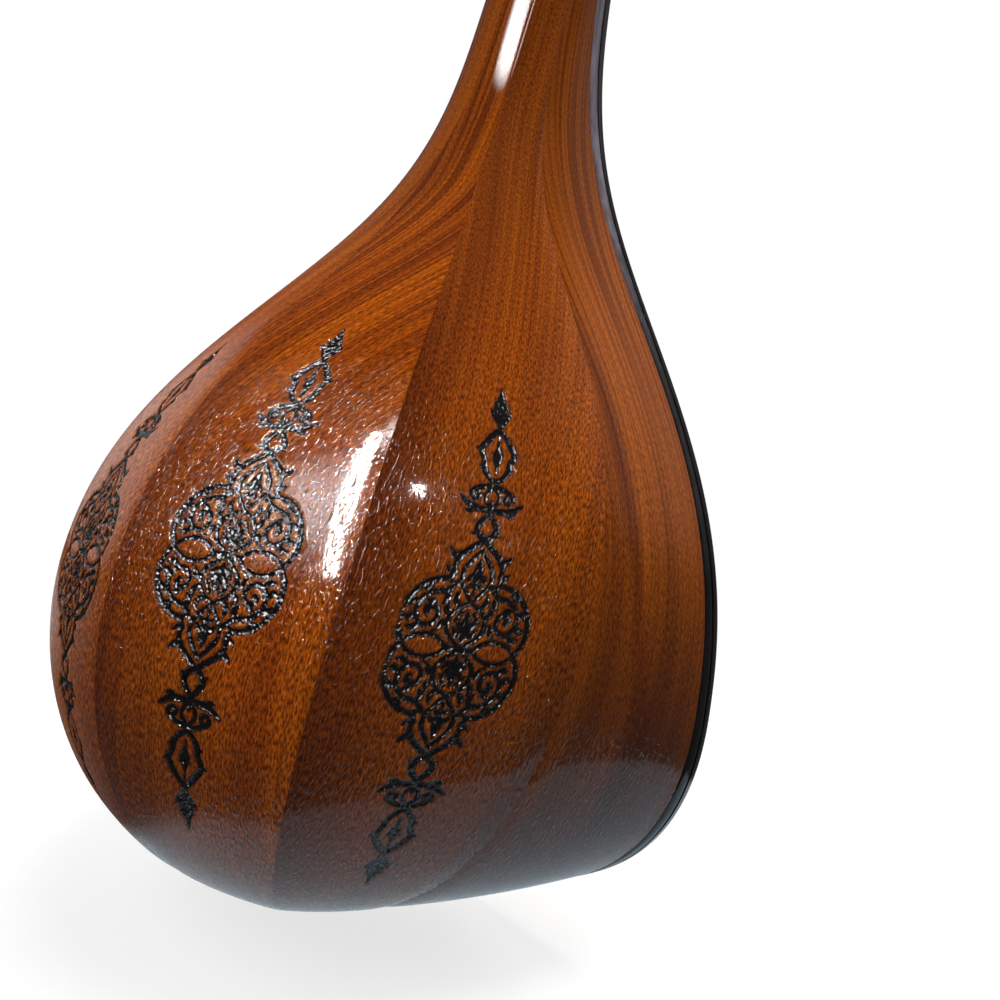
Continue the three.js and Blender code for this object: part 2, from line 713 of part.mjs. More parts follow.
// Tied frets: each is a band of gut turns round neck and fingerboard, free to be pushed along.
function fretBody(z) {
  const [halfWidth, depth] = [neckHalfWidthAt(z), neckDepthAt(z)];
  const steps = 12;
  const sections = [];
  for (let step = 0; step <= steps; step++) {
    const turn = (step * Math.PI) / steps;
    const isCorner = step === 0 || step === steps;
    const outward = isCorner
      ? new THREE.Vector2(Math.sign(Math.cos(turn)), -1)
      : new THREE.Vector2(Math.cos(turn) / halfWidth, Math.sin(turn) / depth).normalize();
    const section = [];
    for (const [off, up] of [[0, -0.5], [1, -0.5], [1, 0.5], [0, 0.5]]) {
      const distance = fretPlay + off * gutThickness;
      section.push(new THREE.Vector3(
        halfWidth * Math.cos(turn) + outward.x * distance,
        depth * Math.sin(turn) + outward.y * distance,
        z + up * fretBandWidth,
      ));
    }
    sections.push(section);
  }
  return loftBody(sections, true);
}

const stoppedShare = (interval) => 1 - 2 ** (-interval / octaveShare);
const fretRun = nutHeight - bowlLength - lastFretFromBowl;
fretIntervalShares.forEach((interval, index) => {
  const runShare = stoppedShare(interval) / stoppedShare(fretIntervalShares.at(-1));
  const name = `fret_${String(index + 1).padStart(2, '0')}`;
  addPiece(name, fretBody(nutHeight - fretRun * runShare), gut());
});

// Nut: a strip of bone with a notch for each string.
const nutHalfWidth = neckHalfWidthAt(nutHeight);
const nutOutline = new THREE.Shape();
nutOutline.moveTo(-nutHalfWidth, fingerboardThickness);
nutOutline.lineTo(nutHalfWidth, fingerboardThickness);
nutOutline.lineTo(nutHalfWidth, 0);
nutOutline.lineTo(nutHalfWidth - nutStand, -nutStand);
for (const x of stringOffsets) {
  nutOutline.lineTo(x + notchWidth / 2, -nutStand);
  nutOutline.lineTo(x + notchWidth / 2, -nutStand + notchDepth);
  nutOutline.lineTo(x - notchWidth / 2, -nutStand + notchDepth);
  nutOutline.lineTo(x - notchWidth / 2, -nutStand);
}
nutOutline.lineTo(nutStand - nutHalfWidth, -nutStand);
nutOutline.lineTo(-nutHalfWidth, 0);
const nutBody = new THREE.ExtrudeGeometry(nutOutline, { depth: nutThickness, bevelEnabled: false });
addPiece('nut', finishBody(nutBody.translate(0, 0, nutHeight)), bone());

// Head: a solid block that leans back, narrower than the neck so that the side strings pass it.
const headFrontAt = (z) => neckFront + (z - headStart) * Math.tan(headLean);

function headRing(z, halfWidth, depth, corner, inset) {
  const front = headFrontAt(z);
  const ring = [];
  const cornerSteps = 3;
  const reach = halfWidth - inset - corner;
  const [near, far] = [front + inset + corner, front + depth - inset - corner];
  const centres = [[reach, far, 0], [-reach, far, 1], [-reach, near, 2], [reach, near, 3]];
  for (const [x, y, quarter] of centres) {
    for (let step = 0; step <= cornerSteps; step++) {
      const turn = ((quarter + step / cornerSteps) * Math.PI) / 2;
      ring.push(new THREE.Vector3(x + corner * Math.cos(turn), y + corner * Math.sin(turn), z));
    }
  }
  return ring;
}

const headEnd = headStart + headLength;
const headBody = toSolid(loftBody([
  headRing(headStart, neckTopHalfWidth - glueGap, headDepth - glueGap, headCorner, 0),
  headRing(headStart + headWaistLength, headHalfWidth, headDepth, headCorner, 0),
  headRing(headEnd - headBevel, headTopHalfWidth, headDepth, headCorner, 0),
  headRing(headEnd, headTopHalfWidth, headDepth, headCorner - headBevel / 2, headBevel),
]));

// Pegs: a turned, tapered shaft with a collar, and a flat thumb grip. Each lies along its own +Y.
function pegRadiusAt(distance) {
  return pegTipRadius + pegTaperShare * distance;
}

const shaftSides = 12;

function pegBoreSolid(length, placing) {
  const bore = new THREE.CylinderGeometry(
    pegRadiusAt(length) + pegPlay, pegRadiusAt(0) + pegPlay, length, shaftSides,
  );
  return toSolid(bore.translate(0, length / 2, 0).applyMatrix4(placing));
}

function pegBody(shaftLength) {
  const shoulder = pegRadiusAt(shaftLength);
  const profile = [
    new THREE.Vector2(0, 0),
    new THREE.Vector2(pegTipRadius - gripBevel / 2, 0),
    new THREE.Vector2(pegTipRadius, gripBevel),
    new THREE.Vector2(shoulder, shaftLength),
    new THREE.Vector2(collarRadius, shaftLength + collarThickness / 4),
    new THREE.Vector2(collarRadius, shaftLength + collarThickness),
    new THREE.Vector2(shoulder, shaftLength + 2 * collarThickness),
    new THREE.Vector2(shoulder - gripBevel, shaftLength + gripLength / 2),
    new THREE.Vector2(0, shaftLength + gripLength / 2),
  ];
  const turned = toSolid(new THREE.LatheGeometry(profile, shaftSides));
  const outline = new THREE.Shape();
  const waist = gripThickness / 2;
  const [low, high] = [gripLength / 3, (2 * gripLength) / 3];
  outline.moveTo(waist, collarThickness);
  outline.bezierCurveTo(waist, low, gripHalfWidth, low, gripHalfWidth, high);
  outline.bezierCurveTo(gripHalfWidth, gripLength, waist, gripLength, 0, gripLength);
  outline.bezierCurveTo(-waist, gripLength, -gripHalfWidth, gripLength, -gripHalfWidth, high);
  outline.bezierCurveTo(-gripHalfWidth, low, -waist, low, -waist, collarThickness);
  const grip = new THREE.ExtrudeGeometry(outline, {
    depth: gripThickness - 2 * gripBevel,
    bevelThickness: gripBevel,
    bevelSize: gripBevel,
    bevelOffset: -gripBevel,
    bevelSegments: 1,
    curveSegments: 4,
  });
  grip.translate(0, shaftLength, gripBevel - gripThickness / 2);
  return fromSolid(turned.add(toSolid(grip)));
}

// Each peg: where its tip lies, which way it points, and how deep the head is there.
const pegs = [];
frontPegRises.forEach((rise, index) => {
  const z = nutHeight + rise;
  const through = headDepth / Math.cos(headLean);
  const placing = new THREE.Matrix4().makeRotationX(Math.PI - headLean);
  const out = new THREE.Vector3(0, 1, 0).transformDirection(placing);
  const entry = new THREE.Vector3(frontPegOffset, headFrontAt(z), z);
  const tip = entry.clone().addScaledVector(out, -headDepth * Math.cos(headLean) - pegTipStand);
  pegs.push({
    name: `peg_front_${['lower', 'upper'][index]}`, tip, entry, out, placing: placing.setPosition(tip),
    shaftLength: through + pegTipStand + pegExposed, headSide: headDepth * Math.cos(headLean) + pegTipStand,
  });
});
sidePegRises.forEach((rise, index) => {
  const z = nutHeight + rise;
  const share = (z - headStart - headWaistLength) / (headLength - headBevel - headWaistLength);
  const halfWidth = THREE.MathUtils.lerp(headHalfWidth, headTopHalfWidth, share);
  const placing = new THREE.Matrix4().makeRotationZ(Math.PI / 2);
  const out = new THREE.Vector3(0, 1, 0).transformDirection(placing);
  const depth = headFrontAt(z) + sidePegInset;
  const entry = new THREE.Vector3(-halfWidth, depth, z);
  const tip = new THREE.Vector3(halfWidth + pegTipStand, depth, z);
  pegs.push({
    name: `peg_side_${['lower', 'upper'][index]}`, tip, entry, out, placing: placing.setPosition(tip),
    shaftLength: 2 * halfWidth + pegTipStand + pegExposed, headSide: 2 * halfWidth + pegTipStand,
  });
});

let head = headBody;
for (const peg of pegs) head = head.subtract(pegBoreSolid(peg.shaftLength, peg.placing));
addPiece('head', fromSolid(head), neckWood());

for (const peg of pegs) {
  const mesh = addPiece(peg.name, pegBody(peg.shaftLength), blackWood());
  mesh.position.copy(peg.tip);
  mesh.rotation.setFromRotationMatrix(peg.placing);
}

// Windings: an unbroken helix of string round the bare part of each shaft. It starts where the string
// comes in, on the side that arriveTurn gives, and climbs from the head toward the grip.
function helixPath(peg, diameter, arriveTurn, sense) {
  const pitch = diameter + windingGap;
  const radius = windingRadius(peg, diameter);
  const span = windingTurns * pitch;
  const start = peg.headSide + (pegExposed - span) / 2;
  const path = [];
  const steps = windingTurns * windingStepsPerTurn;
  for (let step = 0; step <= steps; step++) {
    const turn = arriveTurn + (sense * 2 * Math.PI * step) / windingStepsPerTurn;
    const distance = start + (pitch * step) / windingStepsPerTurn;
    path.push(new THREE.Vector3(radius * Math.cos(turn), distance, radius * Math.sin(turn)));
  }
  return path;
}

function windingRadius(peg, diameter) {
  return pegRadiusAt(peg.headSide + pegExposed) + windingStandOff + diameter / 2;
}

// The least gap between any two turns, measured between path points at least half a turn apart.
function leastGap(path, diameter) {
  let least = Infinity;
  for (let i = 0; i < path.length; i++) {
    for (let j = i + windingStepsPerTurn / 2; j < path.length; j++) {
      least = Math.min(least, path[i].distanceTo(path[j]) - diameter);
    }
  }
  return least;
}

// Strings, from the highest: which peg takes each, on which side of the shaft it arrives, as a turn in
// the peg's own frame, and the sense in which it then winds on.
const stringPegs = [pegs[1], pegs[0], pegs[2], pegs[3]];
const stringMetals = [steel, brass, brass, steel];
const arriveTurns = [0, Math.PI, Math.PI, Math.PI];
const windingSenses = [-1, 1, -1, -1];
const windingSides = 5;
const stringSides = 6;

stringPegs.forEach((peg, index) => {
  const diameter = stringDiameters[index];
  const radius = diameter / 2;
  const material = stringMetals[index];
  const helix = helixPath(peg, diameter, arriveTurns[index], windingSenses[index]);
  console.log(`string ${index + 1}: least gap between turns ${leastGap(helix, diameter).toFixed(3)} mm`);
  const winding = addPiece(`string_winding_${index + 1}`, tubeBody(helix, radius, windingSides), material());
  winding.position.copy(peg.tip);
  winding.rotation.setFromRotationMatrix(peg.placing);

  const x = stringOffsets[index];
  const off = glueGap + radius;
  const arrival = helix[0].clone().applyMatrix4(peg.placing);
  const ontoNut = new THREE.Vector3(x, notchDepth - nutStand - off, nutHeight);
  const offNut = new THREE.Vector3(x, notchDepth - nutStand - off, neckEnd);
  const ringRadius = windingRadius(peg, diameter);
  const sweep = ringRadius + diameter + glueGap;
  const stopShort = Math.sqrt(sweep ** 2 - ringRadius ** 2);
  const run = arrival.clone().sub(offNut);
  const end = offNut.clone().addScaledVector(run, 1 - stopShort / run.length());
  const path = [
    new THREE.Vector3(x, postSetBack - postRadius - off, holderUnder - off),
    new THREE.Vector3(x, holderFront + holderCorner, holderUnder - off),
  ];
  const cornerSteps = 4;
  for (let step = 1; step < cornerSteps; step++) {
    const turn = (step / cornerSteps) * (Math.PI / 2);
    path.push(new THREE.Vector3(
      x,
      holderFront + holderCorner - (holderCorner + off) * Math.sin(turn),
      holderUnder + holderCorner - (holderCorner + off) * Math.cos(turn),
    ));
  }
  path.push(
    new THREE.Vector3(x, holderFront - off, holderUnder + holderCorner),
    new THREE.Vector3(x, holderFront - off, holderLipHeight),
    new THREE.Vector3(x, bridgeTop + notchDepth - off, bridgeHeight - bridgeThickness / 2),
    new THREE.Vector3(x, bridgeTop + notchDepth - off, bridgeHeight + bridgeThickness / 2),
    ontoNut,
    offNut,
    end,
  );
  addPiece(`string_${index + 1}`, tubeBody(path, radius, stringSides), material());
});

setar.position.z = -nutHeight;

export default setar;
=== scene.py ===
import bpy
import numpy as np
from mathutils import Matrix


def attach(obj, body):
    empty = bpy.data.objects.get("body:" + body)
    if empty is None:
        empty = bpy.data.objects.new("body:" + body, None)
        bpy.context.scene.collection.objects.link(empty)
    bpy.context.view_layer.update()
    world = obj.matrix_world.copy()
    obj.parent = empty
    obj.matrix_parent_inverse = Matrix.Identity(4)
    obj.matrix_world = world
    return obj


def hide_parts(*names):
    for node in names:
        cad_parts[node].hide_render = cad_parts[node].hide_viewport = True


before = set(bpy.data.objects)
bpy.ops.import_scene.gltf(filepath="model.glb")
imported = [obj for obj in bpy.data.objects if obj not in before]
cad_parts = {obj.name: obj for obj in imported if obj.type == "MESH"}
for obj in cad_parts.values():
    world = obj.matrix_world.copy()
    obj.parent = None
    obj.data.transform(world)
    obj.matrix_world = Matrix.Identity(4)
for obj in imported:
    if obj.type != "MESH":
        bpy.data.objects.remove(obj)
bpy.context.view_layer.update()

# The camera stands close behind the bowl, a little to the side and turned slightly, so that it sees the
# carved back, one flank and the black edge. A short lens gives the strong perspective.
NUT_HEIGHT = 708.0
camera_turn = 0.7961
camera_distance, camera_height = 234.7, 97.06
camera_tilt = np.array([-0.0388, 0.0138, -0.1502])
camera_lens, sensor_width = 26.24, 36


def turn_matrix(vector):
    """Rotation about a vector by its length in radians: I + sin(t) K + (1 - cos(t)) K squared."""
    angle = np.linalg.norm(vector)
    x, y, z = vector / angle
    k = np.array([[0, -z, y], [z, 0, -x], [-y, x, 0]])
    return np.eye(3) + np.sin(angle) * k + (1 - np.cos(angle)) * (k @ k)


ahead = np.array([np.cos(camera_turn), -np.sin(camera_turn), 0])
sideways = np.cross(ahead, [0, 0, 1])
axes = turn_matrix(camera_tilt) @ np.stack([sideways, [0, 0, 1], -ahead])
eye = np.append(-ahead[:2] * camera_distance, camera_height - NUT_HEIGHT) / 1000
placing = np.eye(4)
placing[:3, :3] = axes.T
placing[:3, 3] = eye

camera_data = bpy.data.cameras.new("camera")
camera_data.sensor_width, camera_data.lens = sensor_width, camera_lens
camera_data.clip_start = 0.01
camera = bpy.data.objects.new("camera", camera_data)
camera.matrix_world = Matrix(placing.tolist())
bpy.context.scene.collection.objects.link(camera)
bpy.context.scene.camera = camera
bpy.context.scene.view_settings.view_transform = "Standard"


# A pale floor lies under the tail. To the eye and in reflections floor and surroundings are white. The
# floor keeps the instrument's soft shadow, which fades out between two distances from the nut.
def nodes_of(owner):
    """Empties the node tree of a material, world or lamp, and gives its node maker and link maker."""
    owner.use_nodes = True
    owner.node_tree.nodes.clear()
    return owner.node_tree.nodes.new, owner.node_tree.links.new


def new_material(name):
    """A material without nodes yet, with its node maker and its link maker."""
    material = bpy.data.materials.new(name)
    return material, *nodes_of(material)


def maths(node, link, kind, *values):
    """One sum or product of values, each a socket or a number."""
    made = node("ShaderNodeMath")
    made.operation = kind
    for socket, value in zip(made.inputs, values):
        if isinstance(value, bpy.types.NodeSocket):
            link(value, socket)
        else:
            socket.default_value = value
    return made.outputs[0]


def between(node, link, value, low, high, first=0.0, last=1.0):
    """A value eased from first to last by a smooth step as it runs from low to high."""
    made = node("ShaderNodeMapRange")
    made.interpolation_type = "SMOOTHSTEP"
    for socket, number in zip(("From Min", "From Max", "To Min", "To Max"), (low, high, first, last)):
        made.inputs[socket].default_value = number
    link(value, made.inputs["Value"])
    return made.outputs[0]


def seen_white(node, link, plain, white):
    """A plain shader, or a white one for camera, glossy and transmission rays."""
    ray = node("ShaderNodeLightPath").outputs
    seen = maths(node, link, "MAXIMUM", ray["Is Camera Ray"], ray["Is Glossy Ray"])
    seen = maths(node, link, "MAXIMUM", seen, ray["Is Transmission Ray"])
    mix = node("ShaderNodeMixShader")
    for socket, value in zip(mix.inputs, (seen, plain, white)):
        link(value, socket)
    return mix.outputs[0]


def flat_shader(node, kind, colour, **settings):
    """One of the simple shaders in an even colour."""
    made = node(kind)
    made.inputs["Color"].default_value = colour
    for socket, value in settings.items():
        made.inputs[socket].default_value = value
    return made.outputs[0]


floor_height = -(NUT_HEIGHT + 12) / 1000
floor_reach = 6
shadow_fade, shadow_lift = (0.74, 1.0), 0.75
corners = np.array([[-1, -1], [1, -1], [1, 1], [-1, 1]]) * floor_reach
floor_mesh = bpy.data.meshes.new("floor")
floor_mesh.from_pydata([(x, y, floor_height) for x, y in corners.tolist()], [], [(0, 1, 2, 3)])
floor = bpy.data.objects.new("floor", floor_mesh)
bpy.context.scene.collection.objects.link(floor)

floor_paint, node, link = new_material("pale_floor")
matt = flat_shader(node, "ShaderNodeBsdfDiffuse", (0.13, 0.13, 0.14, 1))
bright = flat_shader(node, "ShaderNodeBsdfDiffuse", (0.95, 0.95, 0.95, 1))
glow = flat_shader(node, "ShaderNodeEmission", (1, 1, 1, 1))
length = node("ShaderNodeVectorMath")
length.operation = "LENGTH"
link(node("ShaderNodeTexCoord").outputs["Object"], length.inputs[0])
share = between(node, link, length.outputs["Value"], *shadow_fade, shadow_lift, 1.0)
pale = node("ShaderNodeMixShader")
for socket, value in zip(pale.inputs, (share, bright, glow)):
    link(value, socket)
link(seen_white(node, link, matt, pale.outputs[0]), node("ShaderNodeOutputMaterial").inputs["Surface"])
floor_mesh.materials.append(floor_paint)

world = bpy.data.worlds.new("studio")
node, link = nodes_of(world)
dim = flat_shader(node, "ShaderNodeBackground", (0.96, 0.97, 1, 1), Strength=0.12)
white = flat_shader(node, "ShaderNodeBackground", (1, 1, 1, 1))
link(seen_white(node, link, dim, white), node("ShaderNodeOutputWorld").inputs["Surface"])
bpy.context.scene.world = world


def soften(data, soft, crown=None):
    """Fades a lamp out toward the ellipse in its rectangle, over a share of its size. With a crown, only
    that first share of its height is round, and the rest runs straight to the far edge."""
    node, link = nodes_of(data)
    parts = node("ShaderNodeSeparateXYZ")
    link(node("ShaderNodeNewGeometry").outputs["Parametric"], parts.inputs[0])
    u = maths(node, link, "MULTIPLY_ADD", parts.outputs[0], 2.0, -1.0)
    if crown:
        v = maths(node, link, "MULTIPLY_ADD", parts.outputs[1], -1 / crown, 1.0)
        v = maths(node, link, "MAXIMUM", v, 0.0)
    else:
        v = maths(node, link, "MULTIPLY_ADD", parts.outputs[1], 2.0, -1.0)
    reach = maths(node, link, "POWER", maths(node, link, "ADD", maths(node, link, "MULTIPLY", u, u),
                                             maths(node, link, "MULTIPLY", v, v)), 0.5)
    glow = node("ShaderNodeEmission")
    link(between(node, link, reach, 1 - soft, 1, 1.0, 0.0), glow.inputs["Strength"])
    link(glow.outputs[0], node("ShaderNodeOutputLight").inputs[0])


def lamp(name, direction, distance, width, height, power, sheen=False, soft=0, lean=0):
    """A rectangular lamp in a direction from the belly of the bowl, turned to face it and leaning by some
    degrees. It lights surfaces, or as a sheen lamp shows only as a reflection in glossy ones."""
    belly = np.array([-0.04, 0.07, 0.09 - NUT_HEIGHT / 1000])
    away = np.array(direction) / np.linalg.norm(direction)
    flat = np.cross([0, 0, 1], away)
    flat /= np.linalg.norm(flat)
    data = bpy.data.lights.new(name, "AREA")
    data.shape = "RECTANGLE"
    data.size, data.size_y = width, height
    data.energy = power
    made = bpy.data.objects.new(name, data)
    spot = np.eye(4)
    spot[:3, :3] = np.stack([flat, np.cross(away, flat), away], 1)
    spot[:3, 3] = belly + away * distance
    made.matrix_world = Matrix(spot.tolist()) @ Matrix.Rotation(np.radians(lean), 4, "Z")
    made.visible_camera = False
    made.visible_diffuse = not sheen
    made.visible_glossy = sheen
    if soft:
        soften(data, soft)
    bpy.context.scene.collection.objects.link(made)
    return made


# The first three light the surfaces. The lacquer mirrors the rest: a tall window with its soft curtain and
# its edge, the sky over the neck, a small spot, and the pale wall and sky on the far sides.
lamp("key", (-0.12, 0.72, 0.72), 3.0, 1.6, 1.6, 66)
lamp("top", (-0.3, 0.05, 0.95), 2.2, 0.9, 0.9, 50)
lamp("front", (0.35, -0.9, 0.5), 1.8, 1.2, 1.2, 22)
lamp("window", (-0.152, 0.825, 0.543), 3.0, 0.2, 2.35, 2400, sheen=True, lean=10.6)
lamp("curtain", (-0.05, 0.86, 0.46), 3.0, 1.3, 2.2, 1000, sheen=True, soft=0.9)
lamp("window_edge", (-0.40, 0.77, 0.5), 3.0, 0.16, 2.2, 500, sheen=True, lean=9)
lamp("neck_window", (-0.23, 0.52, 0.82), 3.0, 1.5, 0.8, 1500, sheen=True, soft=0.85)
lamp("side_spot", (-0.81, 0.165, 0.565), 1.0, 0.03, 0.07, 9, sheen=True)
lamp("far_wall", (0.93, 0.3, 0.25), 3.0, 3.4, 3.2, 300, sheen=True, soft=0.55)
lamp("front_sky", (-0.45, -0.64, 0.62), 3.0, 3.4, 3.6, 100, sheen=True, soft=0.6)


def floor_card(name, place, turn, width, height, power, colour, soft, crown=None):
    """A sheen lamp lying on the floor under the tail, turned by some degrees and facing up."""
    made = lamp(name, (0, 0.01, -1), 0.1, width, height, power, sheen=True)
    made.data.color = colour
    made.matrix_world = (Matrix.Translation((*place, floor_height + 0.001))
                         @ Matrix.Rotation(np.radians(turn), 4, "Z") @ Matrix.Rotation(np.pi, 4, "X"))
    soften(made.data, soft, crown)


# Two bright cards on the floor give the wash of light along the bowl's underside.
floor_card("tail_card", (-0.0225, -0.0209), 53.5, 0.266, 0.2435, 1.5, (0.68, 0.87, 1), 0.12, 0.261)
floor_card("side_card", (0.52, 0.05), 0, 0.72, 0.6, 7, (0.85, 0.93, 1), 0.5)


# The bowl is glued up from seven bent staves, one in the middle of the back and three to each side.
# Their surface is worked out between eight seams, the outer two of which are the rim. Five staves carry
# a medallion, cut in with a gouge and blackened before the lacquer went on.
BOWL_LENGTH = 276.0
RIM_PLANE = 2.7
TAIL_HEIGHT, TAIL_DEPTH = -2.0, 49.0
NECK_FOOT = (19.0, 27.8)
rim_half_width, rim_belly = 83.6, 63.8
seam_reach = [share * rim_half_width for share in (0.9294, 0.9701, 0.9928)]
seam_angle = np.radians([7.9, 45.4, 79.1])
seam_belly = [79.0, 81.0, 82.8]
seam_roundness = [2.08, 2.0, 1.93]
seam_fall = [(1.14, 2.17), (1.12, 2.32), (1.09, 2.48)]
stave_count = 7
STAVE_WALL = 3.0
TAIL_OPENING = 1.2


def to_metres(points):
    """Millimetres from the soundboard's bottom end to metres from the nut."""
    return (points - np.array([0, 0, NUT_HEIGHT])) / 1000


def lerp(a, b, share):
    """a where share is 0 and b where it is 1."""
    return a + (b - a) * share


def fall(share, start, steep):
    """((1 + cos(pi * share ** start)) / 2) ** steep, for share held between 0 and 1."""
    return ((1 + np.cos(np.pi * np.clip(share, 0, 1) ** start)) / 2) ** steep


def superellipse(place, roundness):
    """Quarter of a superellipse: sin(t) ** (2 / r) outward and 1 - cos(t) ** (2 / r) upward."""
    turn = np.clip(place, 0, 1) * np.pi / 2
    return np.sin(turn) ** (2 / roundness), 1 - np.cos(turn).clip(0) ** (2 / roundness)


def axis_depth(height):
    """The line that the seams curve about runs straight from the tail's depth to the front plane."""
    return TAIL_DEPTH * (1 - np.clip((height - TAIL_HEIGHT) / (BOWL_LENGTH - TAIL_HEIGHT), 0, 1))


def seam_point(seam, place):
    """Place runs from 0 at the tail over 1 at the belly to 2 at the neck. Below the belly a seam is a
    superellipse in its own plane, above it eases by fall() into the neck's elliptic section."""
    own = min(seam, stave_count - seam)
    side = 1 if seam == own else -1
    upper = np.clip(place - 1, 0, 1)
    if own == 0:
        out, up = superellipse(place, 2.45)
        x = np.where(place <= 1, rim_half_width * out,
                     lerp(NECK_FOOT[0], rim_half_width, fall(upper, 1.09, 1.49)))
        z = np.where(place <= 1, rim_belly * up, lerp(rim_belly, BOWL_LENGTH, upper))
        return np.stack([side * x, np.full_like(x, RIM_PLANE), z], -1)
    k = own - 1
    wide, deep = seam_reach[k] * np.cos(seam_angle[k]), seam_reach[k] * np.sin(seam_angle[k])
    out, up = superellipse(place, seam_roundness[k])
    turn = own * np.pi / stave_count
    ease = fall(upper, *seam_fall[k])
    z = np.where(place <= 1, lerp(TAIL_HEIGHT, seam_belly[k], up),
                 lerp(seam_belly[k], BOWL_LENGTH, upper))
    x = np.where(place <= 1, wide * out, lerp(NECK_FOOT[0] * np.cos(turn), wide, ease))
    y = np.where(place <= 1, deep * out, lerp(NECK_FOOT[1] * np.sin(turn), deep, ease))
    return np.stack([side * x, y + axis_depth(z), z], -1)


def unit(vectors):
    """Vectors scaled to length one."""
    return vectors / np.linalg.norm(vectors, axis=-1, keepdims=True).clip(1e-12)


def stave_point(stave, across, place):
    """Straight between two seams, plus a crown of 4a(1 - a) times the chord, and the way outward."""
    first, second = seam_point(stave, place), seam_point(stave + 1, place)
    ahead_place = np.minimum(place + 0.02, 2)
    behind = np.maximum(ahead_place - 0.02, 0)
    run = (seam_point(stave, ahead_place) + seam_point(stave + 1, ahead_place)
           - seam_point(stave, behind) - seam_point(stave + 1, behind))
    chord = second - first
    outward = unit(np.cross(chord, run))
    crown = lerp(0.024, 0.056, np.maximum(place - 1, 0) ** 2)
    rise = crown * np.linalg.norm(chord, axis=-1) * 4 * across * (1 - across)
    return first + chord * across[..., None] + outward * rise[..., None], outward


def way_in(point, stave, across):
    """Toward the bowl's curved axis. At the rim of an edge stave it stays level with the rim."""
    middle = np.maximum(point[..., 2], 81.0)
    deep = np.stack([np.zeros_like(middle), axis_depth(middle), middle], -1)
    inward = unit(deep - point)
    if 0 < stave < stave_count - 1:
        return inward
    high = np.maximum(point[..., 2], rim_belly)
    level = unit(np.stack([np.zeros_like(high), point[..., 1], high], -1) - point)
    share = (1 - across if stave == 0 else across)[..., None]
    return unit(lerp(inward, level, share))


def wall_point(stave, across, place, depth):
    """The stave's surface moved in by a depth measured square to the wall."""
    point, _ = stave_point(stave, across, place)
    p, a = np.clip(place, 0.02, 1.98), np.clip(across, 0.02, 0.98)
    along = stave_point(stave, a, p + 0.02)[0] - stave_point(stave, a, p - 0.02)[0]
    over = stave_point(stave, a + 0.02, p)[0] - stave_point(stave, a - 0.02, p)[0]
    inward = way_in(point, stave, across)
    slant = np.abs((unit(np.cross(along, over)) * inward).sum(-1)).clip(0.6)
    return point + inward * (depth / slant)[..., None]


def smooth_path(points, steps):
    """A Catmull-Rom curve through points, each span cut into steps."""
    points = np.asarray(points, float)
    padded = np.vstack([2 * points[0] - points[1], points, 2 * points[-1] - points[-2]])
    t = np.linspace(0, 1, steps, endpoint=False)[None, :, None]
    a, b, c, d = (padded[i:len(padded) - 3 + i, None] for i in range(4))
    curve = 0.5 * (2 * b + (c - a) * t + (2 * a - 5 * b + 4 * c - d) * t ** 2
                   + (3 * b - a - 3 * c + d) * t ** 3)
    return np.vstack([curve.reshape(-1, points.shape[1]), points[-1:]])


